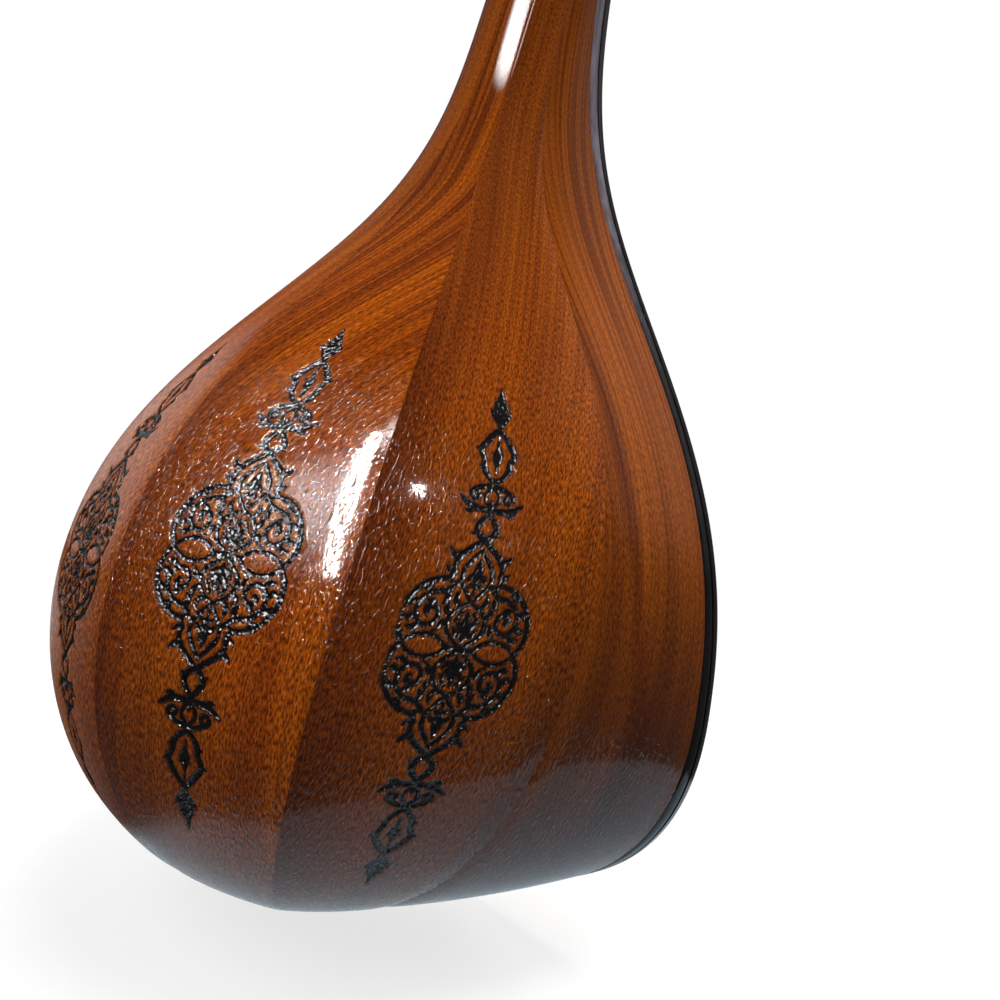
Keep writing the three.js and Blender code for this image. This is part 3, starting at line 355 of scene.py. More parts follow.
# Strokes of a quarter of the medallion as (across, along, half width) in millimetres from its middle.
# The rest is its mirror image: outline with leaf hooks, an almond to each side, a palmette in a loop of
# vine, a spiral with leaves in each lobe, then a bud, a bow of leaves, a small medallion and a tip leaf.
strokes = [
    [(0, 21.2, .5), (1.6, 19.9, .5), (3.2, 18.6, .5), (4.5, 17.4, .55), (5.0, 15.8, .45), (4.9, 14.2, .4),
     (5.6, 13.0, .4), (7.4, 12.6, .4), (9.4, 11.8, .42), (11.3, 10.0, .42), (12.7, 7.6, .42),
     (13.3, 5.0, .45), (13.1, 2.8, .42), (12.4, 1.2, .4), (11.6, 0, .4)],
    [(4.3, 17.3, .6), (5.6, 17.6, .5), (6.6, 18.6, .12)],
    [(4.8, 14.4, .5), (5.9, 14.6, .35), (6.6, 15.2, .1)],
    [(10.6, 11.0, .3), (9.2, 10.6, .3), (8.6, 11.4, .3), (8.9, 12.2, .25)],
    [(2.9, 0, .3), (4.2, 1.35, .3), (6.4, 2.1, .3), (8.6, 2.0, .3), (10.4, 1.2, .3), (11.7, 0, .3)],
    [(0, 19.2, .3), (1.5, 17.3, .34), (2.9, 15.2, .38), (3.0, 13.0, .36), (1.9, 11.2, .34), (0.8, 9.9, .32),
     (0, 8.9, .3)],
    [(0, 17.2, .15), (0, 15.6, .75), (0, 14.0, .95), (0, 12.6, .3), (0, 10.4, .2)],
    [(0.2, 13.4, .4), (1.2, 13.8, .5), (1.9, 13.1, .2)],
    [(0, 12.0, .3), (0.9, 12.2, .35), (1.3, 11.7, .12)],
    [(1.0, 0.9, .3), (2.4, 1.9, .34), (3.7, 3.6, .4), (3.7, 5.6, .4), (2.7, 7.3, .36), (1.3, 8.3, .34),
     (0, 8.9, .3)],
    [(0, 1.5, .25), (0, 2.9, .75), (0, 4.4, 1.0), (0, 5.8, .6), (0, 7.2, .1)],
    [(0.3, 3.4, .45), (1.4, 4.6, .5), (1.9, 5.9, .12)],
    [(0.3, 2.6, .4), (1.6, 2.9, .45), (2.4, 3.9, .12)],
    [(1.2, 6.9, .35), (1.9, 6.1, .2), (2.6, 5.0, .12)],
    [(0, 0, .55), (0.9, 0.55, .3), (1.7, 0, .3)],
    [(1.7, 0, .3), (2.3, 0.2, .35), (2.9, 0, .3)],
    [(3.0, 13.0, .35), (4.2, 11.8, .42), (5.6, 10.6, .45), (7.5, 10.2, .42), (9.3, 9.2, .4), (10.4, 7.3, .4),
     (10.3, 5.3, .38), (9.0, 3.9, .36), (7.3, 3.9, .36), (6.2, 5.1, .36), (6.3, 6.7, .4), (7.5, 7.5, .45),
     (8.5, 6.8, .55), (8.2, 5.9, .4)],
    [(7.5, 7.4, .5), (7.9, 8.3, .45), (8.9, 8.5, .12)],
    [(10.2, 7.8, .3), (11.3, 8.0, .5), (12.0, 7.2, .15)],
    [(10.4, 5.6, .3), (11.4, 4.8, .55), (12.3, 4.9, .2)],
    [(9.2, 4.0, .3), (10.3, 3.0, .5), (11.6, 3.1, .12)],
    [(5.4, 10.7, .3), (4.9, 9.3, .55), (5.6, 8.2, .12)],
    [(4.0, 12.0, .3), (5.2, 12.6, .3), (5.6, 13.0, .3)],
    [(3.8, 4.4, .35), (4.9, 4.6, .55), (5.4, 3.4, .2), (6.4, 2.9, .1)],
    [(3.6, 6.2, .35), (4.6, 7.2, .5), (4.3, 8.4, .15)],
    [(2.2, 8.0, .35), (3.2, 9.2, .5), (3.0, 10.6, .15)],
    [(0, 21.0, .5), (1.3, 22.0, .5), (2.1, 23.3, .55), (1.3, 24.8, .5), (0, 26.2, .4)],
    [(1.9, 22.7, .45), (2.8, 22.2, .12)],
    [(0, 25.9, .35), (0, 28.6, .3)],
    [(0, 27.0, .5), (1.9, 27.0, .55), (3.7, 27.2, .6), (5.2, 27.9, .5), (6.8, 28.9, .1)],
    [(3.2, 27.2, .5), (4.3, 26.4, .35), (5.2, 26.5, .1)],
    [(0.3, 32.0, .4), (1.9, 31.6, .4), (3.4, 31.0, .45), (4.5, 30.0, .45), (3.9, 28.9, .4), (2.8, 29.3, .4),
     (3.1, 30.2, .35)],
    [(0, 27.4, .35), (1.3, 28.7, .32), (1.4, 30.2, .32), (0, 31.6, .35)],
    [(0, 32.6, .35), (1.5, 33.6, .45), (2.6, 35.2, .5), (2.9, 37.2, .48), (3.7, 39.0, .55), (2.6, 41.0, .6),
     (1.3, 42.8, .5), (0, 44.2, .4)],
    [(3.5, 38.9, .5), (4.7, 39.2, .12)],
    [(2.7, 36.2, .45), (3.6, 35.6, .12)],
    [(0, 43.4, .2), (0, 40.6, .2), (0, 39.2, .6), (0, 37.8, 1.0), (0, 36.2, .35), (0, 34.4, .15)],
    [(0.3, 38.0, .5), (1.1, 38.8, .12)],
    [(0, 44.0, .4), (0, 45.4, .7), (0, 47.0, 1.6), (0, 48.4, 1.75), (0, 50.4, 1.05), (0, 52.4, .4),
     (0, 54.2, .05)],
    [(0.8, 46.6, .7), (1.9, 47.6, .3), (2.3, 48.6, .08)],
    [(0.7, 49.2, .6), (1.5, 50.2, .1)],
]


def carving_distance(across, along):
    """Distance in millimetres from the nearest stroke's edge, negative inside it: for each straight bit
    of a stroke, the distance to its line less its half width, which runs evenly along the bit."""
    u, t = np.abs(across).ravel(), np.abs(along).ravel()
    nearest = np.full(u.shape, 9.0)
    for stroke in strokes:
        path = smooth_path(stroke, 5)
        reach = path[:, 2].max() + 1
        near = np.flatnonzero((u > path[:, 0].min() - reach) & (u < path[:, 0].max() + reach)
                              & (t > path[:, 1].min() - reach) & (t < path[:, 1].max() + reach))
        a, b = path[:-1], path[1:]
        span = b[:, :2] - a[:, :2]
        du, dt = u[near, None] - a[:, 0], t[near, None] - a[:, 1]
        share = np.clip((du * span[:, 0] + dt * span[:, 1]) / (span ** 2).sum(1).clip(1e-9), 0, 1)
        off = np.hypot(du - share * span[:, 0], dt - share * span[:, 1])
        edge = (off - lerp(a[:, 2], b[:, 2], share)).min(1)
        nearest[near] = np.minimum(nearest[near], edge)
    return nearest.reshape(across.shape)


def shell(rings, closed=False):
    """A closed body through rings of points (rings, sides, 3), as points and faces that look outward.
    Its ends are flat faces, or it runs back into its first ring."""
    rows, columns = rings.shape[:2]
    row = np.arange(rows if closed else rows - 1)[:, None]
    column = np.arange(columns)[None, :]
    ahead_row, beside = (row + 1) % rows * columns, (column + 1) % columns
    quads = np.stack([row * columns + column, row * columns + beside, ahead_row + beside,
                      ahead_row + column], -1).reshape(-1, 4)
    points = rings.reshape(-1, 3)
    middle = points.mean(0)
    a, b, c, d = (points[quads[:, i]] - middle for i in range(4))
    volume = (a * np.cross(b, c)).sum() + (a * np.cross(c, d)).sum()
    faces = quads.tolist()
    if not closed:
        faces.append(list(range(columns))[::-1])
        faces.append(list(range((rows - 1) * columns, rows * columns)))
    return points, [face[::-1] for face in faces] if volume < 0 else faces


def joined(name, shells):
    """An object at the origin, in metres, whose mesh is several closed bodies in millimetres."""
    points, faces = [], []
    count = 0
    for shell_points, shell_faces in shells:
        points.append(to_metres(shell_points))
        faces += [[index + count for index in face] for face in shell_faces]
        count += len(shell_points)
    mesh = bpy.data.meshes.new(name)
    mesh.from_pydata(np.vstack(points).tolist(), [], faces)
    made = bpy.data.objects.new(name, mesh)
    bpy.context.scene.collection.objects.link(made)
    return made


def put_piece(name, material, shells, body="setar", stands_for=(), corner=40):
    """One piece out of closed bodies. Edges sharper than corner degrees stay crisp. The piece rides on
    its body and stands for its CAD nodes."""
    made = joined(name, shells)
    made.data.materials.append(material)
    made.data.shade_smooth()
    made.data.set_sharp_from_angle(angle=np.radians(corner))
    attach(made, body)
    if stands_for:
        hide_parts(*stands_for)
    return made


def srgb(red, green, blue):
    """A colour as the eye reads it, 0 to 255, to the linear colour that a shader takes."""
    level = np.array([red, green, blue]) / 255
    return (*np.where(level <= 0.04045, level / 12.92, ((level + 0.055) / 1.055) ** 2.4).tolist(), 1)


def noise(node, link, vector, scale, detail=2, roughness=0.5):
    """A noise texture on stretched coordinates."""
    made = node("ShaderNodeTexNoise")
    made.inputs["Scale"].default_value = 1
    made.inputs["Detail"].default_value = detail
    made.inputs["Roughness"].default_value = roughness
    stretch = node("ShaderNodeVectorMath")
    stretch.operation = "MULTIPLY"
    stretch.inputs[1].default_value = scale
    link(vector, stretch.inputs[0])
    link(stretch.outputs[0], made.inputs["Vector"])
    return made.outputs["Fac"]


def ramp(node, link, value, *stops):
    """Colours along a value: each stop is a position and a colour."""
    made = node("ShaderNodeValToRGB")
    band = made.color_ramp
    while len(band.elements) < len(stops):
        band.elements.new(0.5)
    for element, (position, colour) in zip(band.elements, stops):
        element.position, element.color = position, colour
    link(value, made.inputs[0])
    return made.outputs[0]


def blend(node, link, kind, share, first, second):
    """Two colours blended by share, each a socket or a colour."""
    made = node("ShaderNodeMix")
    made.data_type = "RGBA"
    made.blend_type = kind
    for socket, value in ((made.inputs[0], share), (made.inputs[6], first), (made.inputs[7], second)):
        if isinstance(value, bpy.types.NodeSocket):
            link(value, socket)
        else:
            socket.default_value = value
    return made.outputs[2]


def toned(node, link, colour, share, value, *stops):
    """A colour multiplied, by share, with the shades that a value runs through."""
    return blend(node, link, "MULTIPLY", share, colour, ramp(node, link, value, *stops))


def finish(node, link, colour, settings):
    """The shader that ends a material: its own sockets set by name, and the colour from the nodes."""
    shader = node("ShaderNodeBsdfPrincipled")
    for socket, value in settings.items():
        shader.inputs[socket].default_value = value
    link(colour, shader.inputs["Base Color"])
    link(shader.outputs[0], node("ShaderNodeOutputMaterial").inputs["Surface"])
    return shader


def lacquer(node, link, colour, bump_normal):
    """The finish on all the dark wood: a soft wood surface under a thin, clear, glossy coat."""
    shader = finish(node, link, colour, {"Specular IOR Level": 0, "Roughness": 0.45, "Coat Weight": 0.07,
                                         "Coat Roughness": 0.05})
    link(bump_normal, shader.inputs["Normal"])
    link(bump_normal, shader.inputs["Coat Normal"])


def streaked(name, stretch, dark, light, settings, detail=2):
    """A material of one streaky colour on the piece's own coordinates. Dark and light are each a level of
    the noise and its colour."""
    material, node, link = new_material(name)
    streaks = noise(node, link, node("ShaderNodeTexCoord").outputs["Object"], stretch, detail)
    finish(node, link, ramp(node, link, streaks, dark, light), settings)
    return material


def bumps(node, link, height, distance, strength, below=None):
    """A bump from a height between 0 and 1, on top of another bump or the plain surface."""
    made = node("ShaderNodeBump")
    made.inputs["Distance"].default_value = distance
    made.inputs["Strength"].default_value = strength
    link(height, made.inputs["Height"])
    if below:
        link(below, made.inputs["Normal"])
    return made.outputs[0]


TONED_REACH = 0.022


def patch_share(node, link, value, middle, reach):
    """1 around a middle value, eased to 0 by a reach away from it."""
    off = maths(node, link, "ABSOLUTE", maths(node, link, "SUBTRACT", value, middle))
    return between(node, link, off, 0.3 * reach, reach, 1.0, 0.0)


def lacquered_stave(name, light, dark, seed, seam_shading, figure, painted_shading, heart=0):
    """Fine-pored hardwood under glossy lacquer, on the stave's own map of across and along in metres.
    Figure says how far the growth lines sweep across toward the neck, and how strong lines and flecks
    are. Patches (across, reach, along, reach, level) paint shade into the wood, or light where the level
    is above 1; seam shading tones paint shade and light at both edges; heart, 1 or -1, draws a dark
    streak on that side. The lacquer sinks into open pores, and on the belly it keeps sparse dimples.
    Where the carving attribute is 1, the wood is cut and blackened."""
    sweep, line_share, fleck_share = figure
    material, node, link = new_material(name)
    place = node("ShaderNodeUVMap")
    place.uv_map = "along_stave"
    parts = node("ShaderNodeSeparateXYZ")
    link(place.outputs[0], parts.inputs[0])
    across, along = parts.outputs[0], parts.outputs[1]
    swept = node("ShaderNodeCombineXYZ")
    link(maths(node, link, "ADD", across, between(node, link, along, 0.12, 0.25, seed, seed - sweep)),
         swept.inputs[0])
    link(along, swept.inputs[1])
    swept.inputs[2].default_value = seed
    grain = swept.outputs[0]

    tone = noise(node, link, grain, (90, 7, 1), 2)
    lines = noise(node, link, grain, (950, 6, 1), 1)
    flecks = noise(node, link, grain, (3000, 760, 1), 1, 0.5)
    colour = ramp(node, link, tone, (0.34, dark), (0.66, light))
    share = between(node, link, along, 0.11, 0.2, line_share * 0.35, line_share)
    colour = toned(node, link, colour, share, lines, (0.38, (0.5, 0.4, 0.32, 1)),
                   (0.6, (1.18, 1.18, 1.1, 1)))
    share = between(node, link, along, 0.13, 0.22, fleck_share, fleck_share * 0.6)
    colour = toned(node, link, colour, share, flecks, (0.36, (0.22, 0.17, 0.15, 1)),
                   (0.5, (0.95, 0.95, 0.95, 1)), (0.64, (1.9, 1.8, 1.6, 1)))
    # Painted shade and light: each patch darkens or lightens the wood's colour by its level.
    for middle, reach, height, rise, level in painted_shading:
        share = maths(node, link, "MULTIPLY", patch_share(node, link, across, middle, reach),
                      patch_share(node, link, along, height, rise))
        colour = blend(node, link, "MULTIPLY", share, colour, (level, level * 0.97, level, 1))
    if heart:
        bend = between(node, link, along, 0.1, 0.178, heart * 0.002, heart * 0.016)
        waver = maths(node, link, "MULTIPLY_ADD", tone, 0.006, -0.003)
        off = maths(node, link, "SUBTRACT", maths(node, link, "ADD", across, waver), bend)
        streak = between(node, link, maths(node, link, "ABSOLUTE", off), 0.0004, 0.0046, 0.85, 0.0)
        paler = between(node, link, along, 0.16, 0.21, 1.0, 0.35)
        share = maths(node, link, "MULTIPLY", streak, paler)
        colour = blend(node, link, "MULTIPLY", share, colour, (0.6, 0.5, 0.52, 1))
    upper = between(node, link, along, 0.17, 0.27)
    colour = blend(node, link, "MULTIPLY", upper, colour, (0.74, 0.74, 0.82, 1))
    # Painted shade and light beside the seams: the seam tones scale the colour near each edge.
    from_edge = node("ShaderNodeMapRange")
    from_edge.inputs["From Min"].default_value = -TONED_REACH
    from_edge.inputs["From Max"].default_value = TONED_REACH
    link(across, from_edge.inputs["Value"])
    colour = toned(node, link, colour, 1.0, from_edge.outputs[0], (0, seam_shading[0]), (0.34, (1, 1, 1, 1)),
                   (0.66, (1, 1, 1, 1)), (1, seam_shading[1]))
    cut = node("ShaderNodeAttribute")
    cut.attribute_name = "carving"
    colour = blend(node, link, "MIX", cut.outputs["Fac"], colour, srgb(9, 6, 6))

    dimples = between(node, link, noise(node, link, grain, (1500, 900, 1), 1), 0.56, 0.8)
    belly = between(node, link, along, 0.125, 0.155, 1.0, 0.0)
    relief = bumps(node, link, maths(node, link, "MULTIPLY", dimples, belly), 0.0001, 0.8)
    pores = between(node, link, noise(node, link, grain, (1650, 500, 1), 1, 0.5), 0.55, 0.67)
    open_share = between(node, link, along, 0.11, 0.2, 1.0, 0.0)
    relief = bumps(node, link, maths(node, link, "MULTIPLY", pores, open_share), 0.00008, 1.0, relief)
    gouge = maths(node, link, "MULTIPLY", noise(node, link, grain, (1100, 1000, 1), 1), cut.outputs["Fac"])
    lacquer(node, link, colour, bumps(node, link, gouge, 0.0006, 0.8, relief))
    return material


# Each crest between two staves is sanded: over a width from its seam, by seam from the rim, the surface
# turns down by an angle in radians, so that both sides meet evenly. The edge beside the binding is broken
# more steeply, and scraping takes a little off the whole bowl.
crests = [(0.7, 0.8), (5.0, 0.14), (1.0, 0.14), (5.0, 0.14)]
SCRAPED = 0.15
GLUE_LINE = 0.02

# The medallion's strokes as cut: a little bolder than drawn, wavering as a hand does, with the figure
# moved up and its finials drawn out beyond the lobed middle. The gouge leaves walls and a flat ground.
BOLDER, HAND_WOBBLE = 0.2, 0.1
FIGURE_RAISED, FINIAL_STRETCH, MIDDLE_HALF = 1.0, 0.045, 21.2
CARVED_BELOW, CARVED_ABOVE, CARVED_HALF = 55.5, 57.5, 14.2
CUT_DEPTH, WALL_WIDTH, TONE_WIDTH = 0.42, 0.6, 0.22
LEAN_AT_MIDDLE, LEAN_GROWTH = 1.2, 0.024


def hand_waver(along, sideways):
    """Two sines multiplied, each bent by a third: small uneven swells about 1 mm apart."""
    return (np.sin(along * 4.3 + 2.1 * np.sin(sideways * 3.1))
            * np.sin(sideways * 4.7 + 1.7 * np.sin(along * 2.7)))


def stave_piece(name, stave, material, medallion=None, first_share=None, last_share=None, start=0.0):
    """A stave as a grid over place and across: its outer face, then its inner face back again, a wall
    further in. A medallion (its middle, a share of its width, the side that it leans to) makes the grid
    fine there and cuts its strokes in. The shares say where the stave begins and ends across."""
    fine_places = np.linspace(start, 2, 4001)
    line, _ = stave_point(stave, np.full_like(fine_places, 0.5), fine_places)
    arc = np.append(0, np.cumsum(np.linalg.norm(np.diff(line, axis=0), axis=1)))
    tail_arc = np.interp(0.0, fine_places, arc)
    if medallion:
        middle, width_share, lean = medallion
        low, high = middle - CARVED_BELOW, middle + CARVED_ABOVE
        stops = np.concatenate([np.linspace(arc[0], low, 28)[:-1], np.linspace(low, high, 514)[:-1],
                                np.linspace(high, arc[-1], 52)])
    else:
        stops = np.linspace(arc[0], arc[-1], 150)
    place = np.interp(stops, arc, fine_places)
    chord = np.linalg.norm(seam_point(stave + 1, place) - seam_point(stave, place), axis=1)
    gap = GLUE_LINE / chord
    first = gap if first_share is None else first_share(place)
    last = 1 - gap if last_share is None else last_share(place)
    if medallion:
        band = np.minimum(CARVED_HALF * width_share, 0.42 * chord) / chord
        inner = 0.5 + band[:, None] * np.linspace(-1, 1, 128)[None, :]
        outer = np.linspace(0, 1, 9)[:-1] ** 0.8
        across = np.concatenate([lerp(first[:, None], inner[:, :1], outer), inner,
                                 lerp(last[:, None], inner[:, -1:], outer)[:, ::-1]], 1)
    else:
        crowded = (1 - np.cos(np.linspace(0, np.pi, 45))) / 2
        across = lerp(first[:, None], last[:, None], crowded[None, :])
    places = np.broadcast_to(place[:, None], across.shape)
    outside, outward = stave_point(stave, across, places)
    sideways = (across - 0.5) * chord[:, None]
    for seam, off in ((stave, across - first[:, None]), (stave + 1, last[:, None] - across)):
        width, turn = crests[min(seam, stave_count - seam)]
        ease = np.clip(width - off * chord[:, None], 0, None) ** 2 / (2 * width) * turn
        outside = outside - outward * ease[..., None]
    outside = outside - outward * SCRAPED
    carving = np.zeros(across.shape)
    if medallion:
        along = np.broadcast_to((stops - middle)[:, None], across.shape)
        figure = along - FIGURE_RAISED
        finial = np.clip(np.abs(figure) - MIDDLE_HALF, 0, None)
        figure = figure - np.sign(figure) * finial * FINIAL_STRETCH
        leaned = sideways - lean * (LEAN_AT_MIDDLE + along * LEAN_GROWTH)
        edge = carving_distance(leaned / width_share, figure)
        edge = edge - BOLDER + HAND_WOBBLE * hand_waver(along, sideways)
        carving = np.clip(0.5 - edge / TONE_WIDTH, 0, 1)
        depth = CUT_DEPTH * np.clip(0.35 - edge / WALL_WIDTH, 0, 1)
        outside = outside - outward * depth[..., None]
    back = across[:, np.linspace(across.shape[1] - 1, 0, 7).round().astype(int)]
    inside = wall_point(stave, back, np.broadcast_to(place[:, None], back.shape), STAVE_WALL)
    body = shell(np.concatenate([outside, inside], 1))
    mesh = put_piece(f"{name}_wall", material, [body], stands_for=[name], corner=60).data
    all_side = np.concatenate([sideways, (back - 0.5) * chord[:, None]], 1)
    chart = np.stack([all_side, np.broadcast_to((stops - tail_arc)[:, None], all_side.shape)], -1) / 1000
    corner = np.zeros(len(mesh.loops), np.int32)
    mesh.loops.foreach_get("vertex_index", corner)
    mesh.uv_layers.new(name="along_stave").data.foreach_set("uv", chart.reshape(-1, 2)[corner].ravel())
    dark = np.concatenate([carving, np.zeros(inside.shape[:2])], 1)
    mesh.attributes.new("carving", "FLOAT", "POINT").data.foreach_set("value", dark.ravel())


def binding_share(place, depth):
    """How far across an edge stave a depth behind the front plane lies."""
    return (depth - RIM_PLANE) / (seam_point(1, place)[:, 1] - RIM_PLANE)


# Each row: the stave's place, its light and dark tone, its two edge tones of painted shade and light, its
# figure, its medallion. The patches of painted shade and light are listed by how far a stave lies from
# the middle, as they lie on the left side.
BINDING_DEPTH, BINDING_GAP = 6.1, 0.02
# Edge tones of painted shade (dusk, shaded) and of painted light (the lighter one), for the bands beside the
# seams.
plain, dusk, painted_light, shaded = (1, 1, 1, 1), (0.5, 0.42, 0.4, 1), (1.1, 1.12, 1.05, 1), (0.68, 0.64, 0.7, 1)
middle_tones = (srgb(150, 76, 8), srgb(120, 54, 6))
edge_tones = (srgb(138, 68, 7), srgb(102, 46, 5))
mid_tones = (srgb(136, 66, 5), srgb(106, 46, 4))
back_tones = (srgb(138, 66, 3), srgb(108, 45, 2))
# Painted shade low on the belly on every side stave, and one patch of painted light beside the window's
# reflection on the back staves.
painted_shading = [[], [(-0.016, 0.02, 0.07, 0.035, 0.72), (0.012, 0.012, 0.108, 0.025, 1.24)],
           [(0.035, 0.033, 0.08, 0.085, 0.48)], [(0, 0.1, 0.08, 0.085, 0.56)]]
staves = {
    "stave_right_edge": (0, edge_tones, (plain, plain), (0.006, 0.7, 0.5), None),
    "stave_right_mid": (1, mid_tones, (painted_light, dusk), (-0.01, 0.5, 0.75), (114.4, 0.97, 1)),
    "stave_right_back": (2, back_tones, (plain, shaded), (-0.05, 0.95, 0.75), (123.5, 0.98, 0)),
    "stave_center": (3, middle_tones, (plain, plain), (0.02, 0.7, 0.7), (118.6, 0.8, 0)),
    "stave_left_back": (4, back_tones, (shaded, plain), (0.05, 0.95, 0.75), (123.5, 0.98, 0)),
    "stave_left_mid": (5, mid_tones, (dusk, painted_light), (0.01, 0.5, 0.75), (114.4, 0.97, -1)),
    "stave_left_edge": (6, edge_tones, (plain, plain), (-0.006, 0.7, 0.5), None),
}
for name, (stave, (light, dark), seam_shading, figure, medallion) in staves.items():
    side = 1 if stave > 3 else -1
    own_painted_shading = [(across * side, *rest) for across, *rest in painted_shading[abs(stave - 3)]]
    heart = 0 if medallion else -side
    wood = lacquered_stave(f"{name}_wood", light, dark, stave + 1, seam_shading, figure, own_painted_shading, heart)
    beside_binding = BINDING_DEPTH + BINDING_GAP
    if medallion:
        start = 2 / np.pi * np.arcsin(TAIL_OPENING / seam_reach[1])
        stave_piece(name, stave, wood, medallion, start=start)
    elif stave == 0:
        stave_piece(name, stave, wood, first_share=lambda p: binding_share(p, beside_binding))
    else:
        stave_piece(name, stave, wood, last_share=lambda p: 1 - binding_share(p, beside_binding))

# The bowl's rim is bound with two layers of black wood: a strip let into each edge stave, and a flat
# edging round the soundboard. Both are bent from the tail to the neck, one of each to a side.
def black_lacquer(name, reflection_share=0.0):
    """Black wood under the bowl's lacquer: nearly even, with faint streaks of grain. Toward the neck it is
    greyed by a share of painted reflection, which stands in for bright surroundings mirrored there."""
    material, node, link = new_material(name)
    place = node("ShaderNodeTexCoord").outputs["Object"]
    grain = noise(node, link, place, (420, 420, 22), 2)
    colour = ramp(node, link, grain, (0.35, srgb(9, 7, 8)), (0.7, srgb(24, 19, 20)))
    # Painted reflection: grey mixed into the black toward the neck, where bright surroundings would be
    # mirrored.
    if reflection_share:
        parts = node("ShaderNodeSeparateXYZ")
        link(place, parts.inputs[0])
        share = between(node, link, parts.outputs[2], -0.575, -0.49, 0.0, reflection_share)
        painted_grey = ramp(node, link, grain, (0.3, srgb(84, 78, 84)), (0.7, srgb(128, 120, 128)))
        colour = blend(node, link, "MIX", share, colour, painted_grey)
    wear = noise(node, link, place, (500, 500, 300), 2)
    lacquer(node, link, colour, bumps(node, link, wear, 0.0001, 0.4))
    return material


binding_black = black_lacquer("binding_black", 0.8)
board_black = black_lacquer("board_black")
# Across the binding its face is rounded off toward both edges. The edging's section is a rounded strip,
# by depth in from the rim and level behind the front plane. At the tail the two sides nearly touch.
rim_places = np.linspace(0, 2, 161)
binding_across = np.array([0, 0.06, 0.2, 0.4, 0.6, 0.8, 0.94, 1])
binding_worn = np.array([0.3, 0.14, 0.03, 0, 0.01, 0.08, 0.22, 0.36])
edging_depths = (0, 0, 0.25, 0.8, 2.2, 2.2)
edging_levels = np.array([2.56, 0.6, 0.15, 0, 0, 2.4])
HALF_JOINT = 0.03
for side, sign in (("right", 1), ("left", -1)):
    stave = 0 if sign > 0 else stave_count - 1
    far = binding_share(rim_places, BINDING_DEPTH - BINDING_GAP)[:, None]
    across = binding_across[None, :] * far
    across = across if sign > 0 else 1 - across
    places = np.broadcast_to(rim_places[:, None], across.shape)
    outside, outward = stave_point(stave, across, places)
    outside = outside - outward * binding_worn[None, :, None]
    inside = wall_point(stave, across[:, [7, 3, 0]], places[:, :3], STAVE_WALL)
    section = np.concatenate([outside, inside], 1)
    section[..., 0] = sign * np.maximum(sign * section[..., 0], HALF_JOINT)
    put_piece(f"binding_{side}", binding_black, [shell(section)],
              stands_for=[f"bowl_binding_{side}"])

    rim = np.stack([wall_point(0, np.zeros_like(rim_places), rim_places, depth)
                    for depth in edging_depths], 1)
    rim[..., 0] = sign * np.maximum(rim[..., 0], HALF_JOINT)
    rim[..., 1] = edging_levels
    put_piece(f"edging_{side}", board_black, [shell(rim)],
              stands_for=[f"soundboard_edging_{side}"])


# The soundboard is a thin plate of mulberry wood with a low arch, drilled with a ring of small holes.
# It lies in the black edging, glued to the linings and to its two braces.
def bare_wood(name, light, dark, across=(60, 60), shine=0.35, roughness=0.42, figure=0.6):
    """Open-grained wood that runs along Z: streaks of tone, growth lines and pores on the piece's own
    coordinates, with a thin satin finish."""
    material, node, link = new_material(name)
    spot = node("ShaderNodeTexCoord").outputs["Object"]
    tone = noise(node, link, spot, (across[0] / 5, across[1] / 5, 1.2), 2)
    lines = noise(node, link, spot, (across[0] * 3, across[1] * 3, 2.2), 2)
    pores = noise(node, link, spot, (across[0] * 20, across[1] * 20, 70), 2)
    colour = ramp(node, link, tone, (0.32, dark), (0.68, light))
    colour = toned(node, link, colour, figure, lines, (0.38, (0.66, 0.6, 0.54, 1)),
                   (0.6, (1.06, 1.06, 1.06, 1)))
    colour = toned(node, link, colour, 0.6, pores, (0.33, (0.5, 0.44, 0.4, 1)), (0.52, (1, 1, 1, 1)))
    shader = finish(node, link, colour, {"Specular IOR Level": shine, "Roughness": roughness})
    link(bumps(node, link, pores, 0.0002, 0.25), shader.inputs["Normal"])
    return material


BOARD_THICKNESS, BOARD_ARCH, BOARD_INSET = 2.4, 2.5, 2.25
HOLE_HEIGHT, HOLE_RADIUS, HOLE_RING, HOLES_IN_RING = 152.0, 1.7, 9.0, 8
DRILL_REACH, HOLE_SIDES = 9, 32


def arch_at(x, z, half_width):
    """How far the board stands forward: the arch, times sin(pi z / length), times 1 - (x / half width)
    squared."""
    return BOARD_ARCH * np.sin(np.pi * np.clip(z / BOWL_LENGTH, 0, 1)) * (1 - (x / half_width) ** 2).clip(0)


board_places = np.linspace(0, 2, 121)
board_edge = wall_point(0, np.zeros_like(board_places), board_places, BOARD_INSET)
spread = np.sin(np.linspace(-1, 1, 49) * np.pi / 2)
x = board_edge[:, :1].clip(0.02) * spread[None, :]
z = np.broadcast_to(board_edge[:, 2:], x.shape)
front = np.stack([x, -arch_at(x, z, board_edge[:, :1].clip(0.02)), z], -1)
rear = front + np.array([0, BOARD_THICKNESS, 0])
board_wood = bare_wood("board_wood", srgb(206, 154, 92), srgb(176, 118, 62), (70, 70), 0.4, 0.34)
board = put_piece("soundboard_plate", board_wood, [shell(np.concatenate([front, rear[:, ::-1]], 1))],
                  stands_for=["soundboard"])
drills = []
around = np.linspace(0, 2 * np.pi, HOLE_SIDES + 1)[:-1]
for hole in range(HOLES_IN_RING + 1):
    turn = 2 * np.pi * hole / HOLES_IN_RING
    reach = 0 if hole == HOLES_IN_RING else HOLE_RING
    circle = np.stack([reach * np.cos(turn) + HOLE_RADIUS * np.cos(around), np.zeros(HOLE_SIDES),
                       HOLE_HEIGHT + reach * np.sin(turn) + HOLE_RADIUS * np.sin(around)], -1)
    drills.append(shell(np.stack([circle - [0, DRILL_REACH, 0], circle + [0, DRILL_REACH, 0]])))


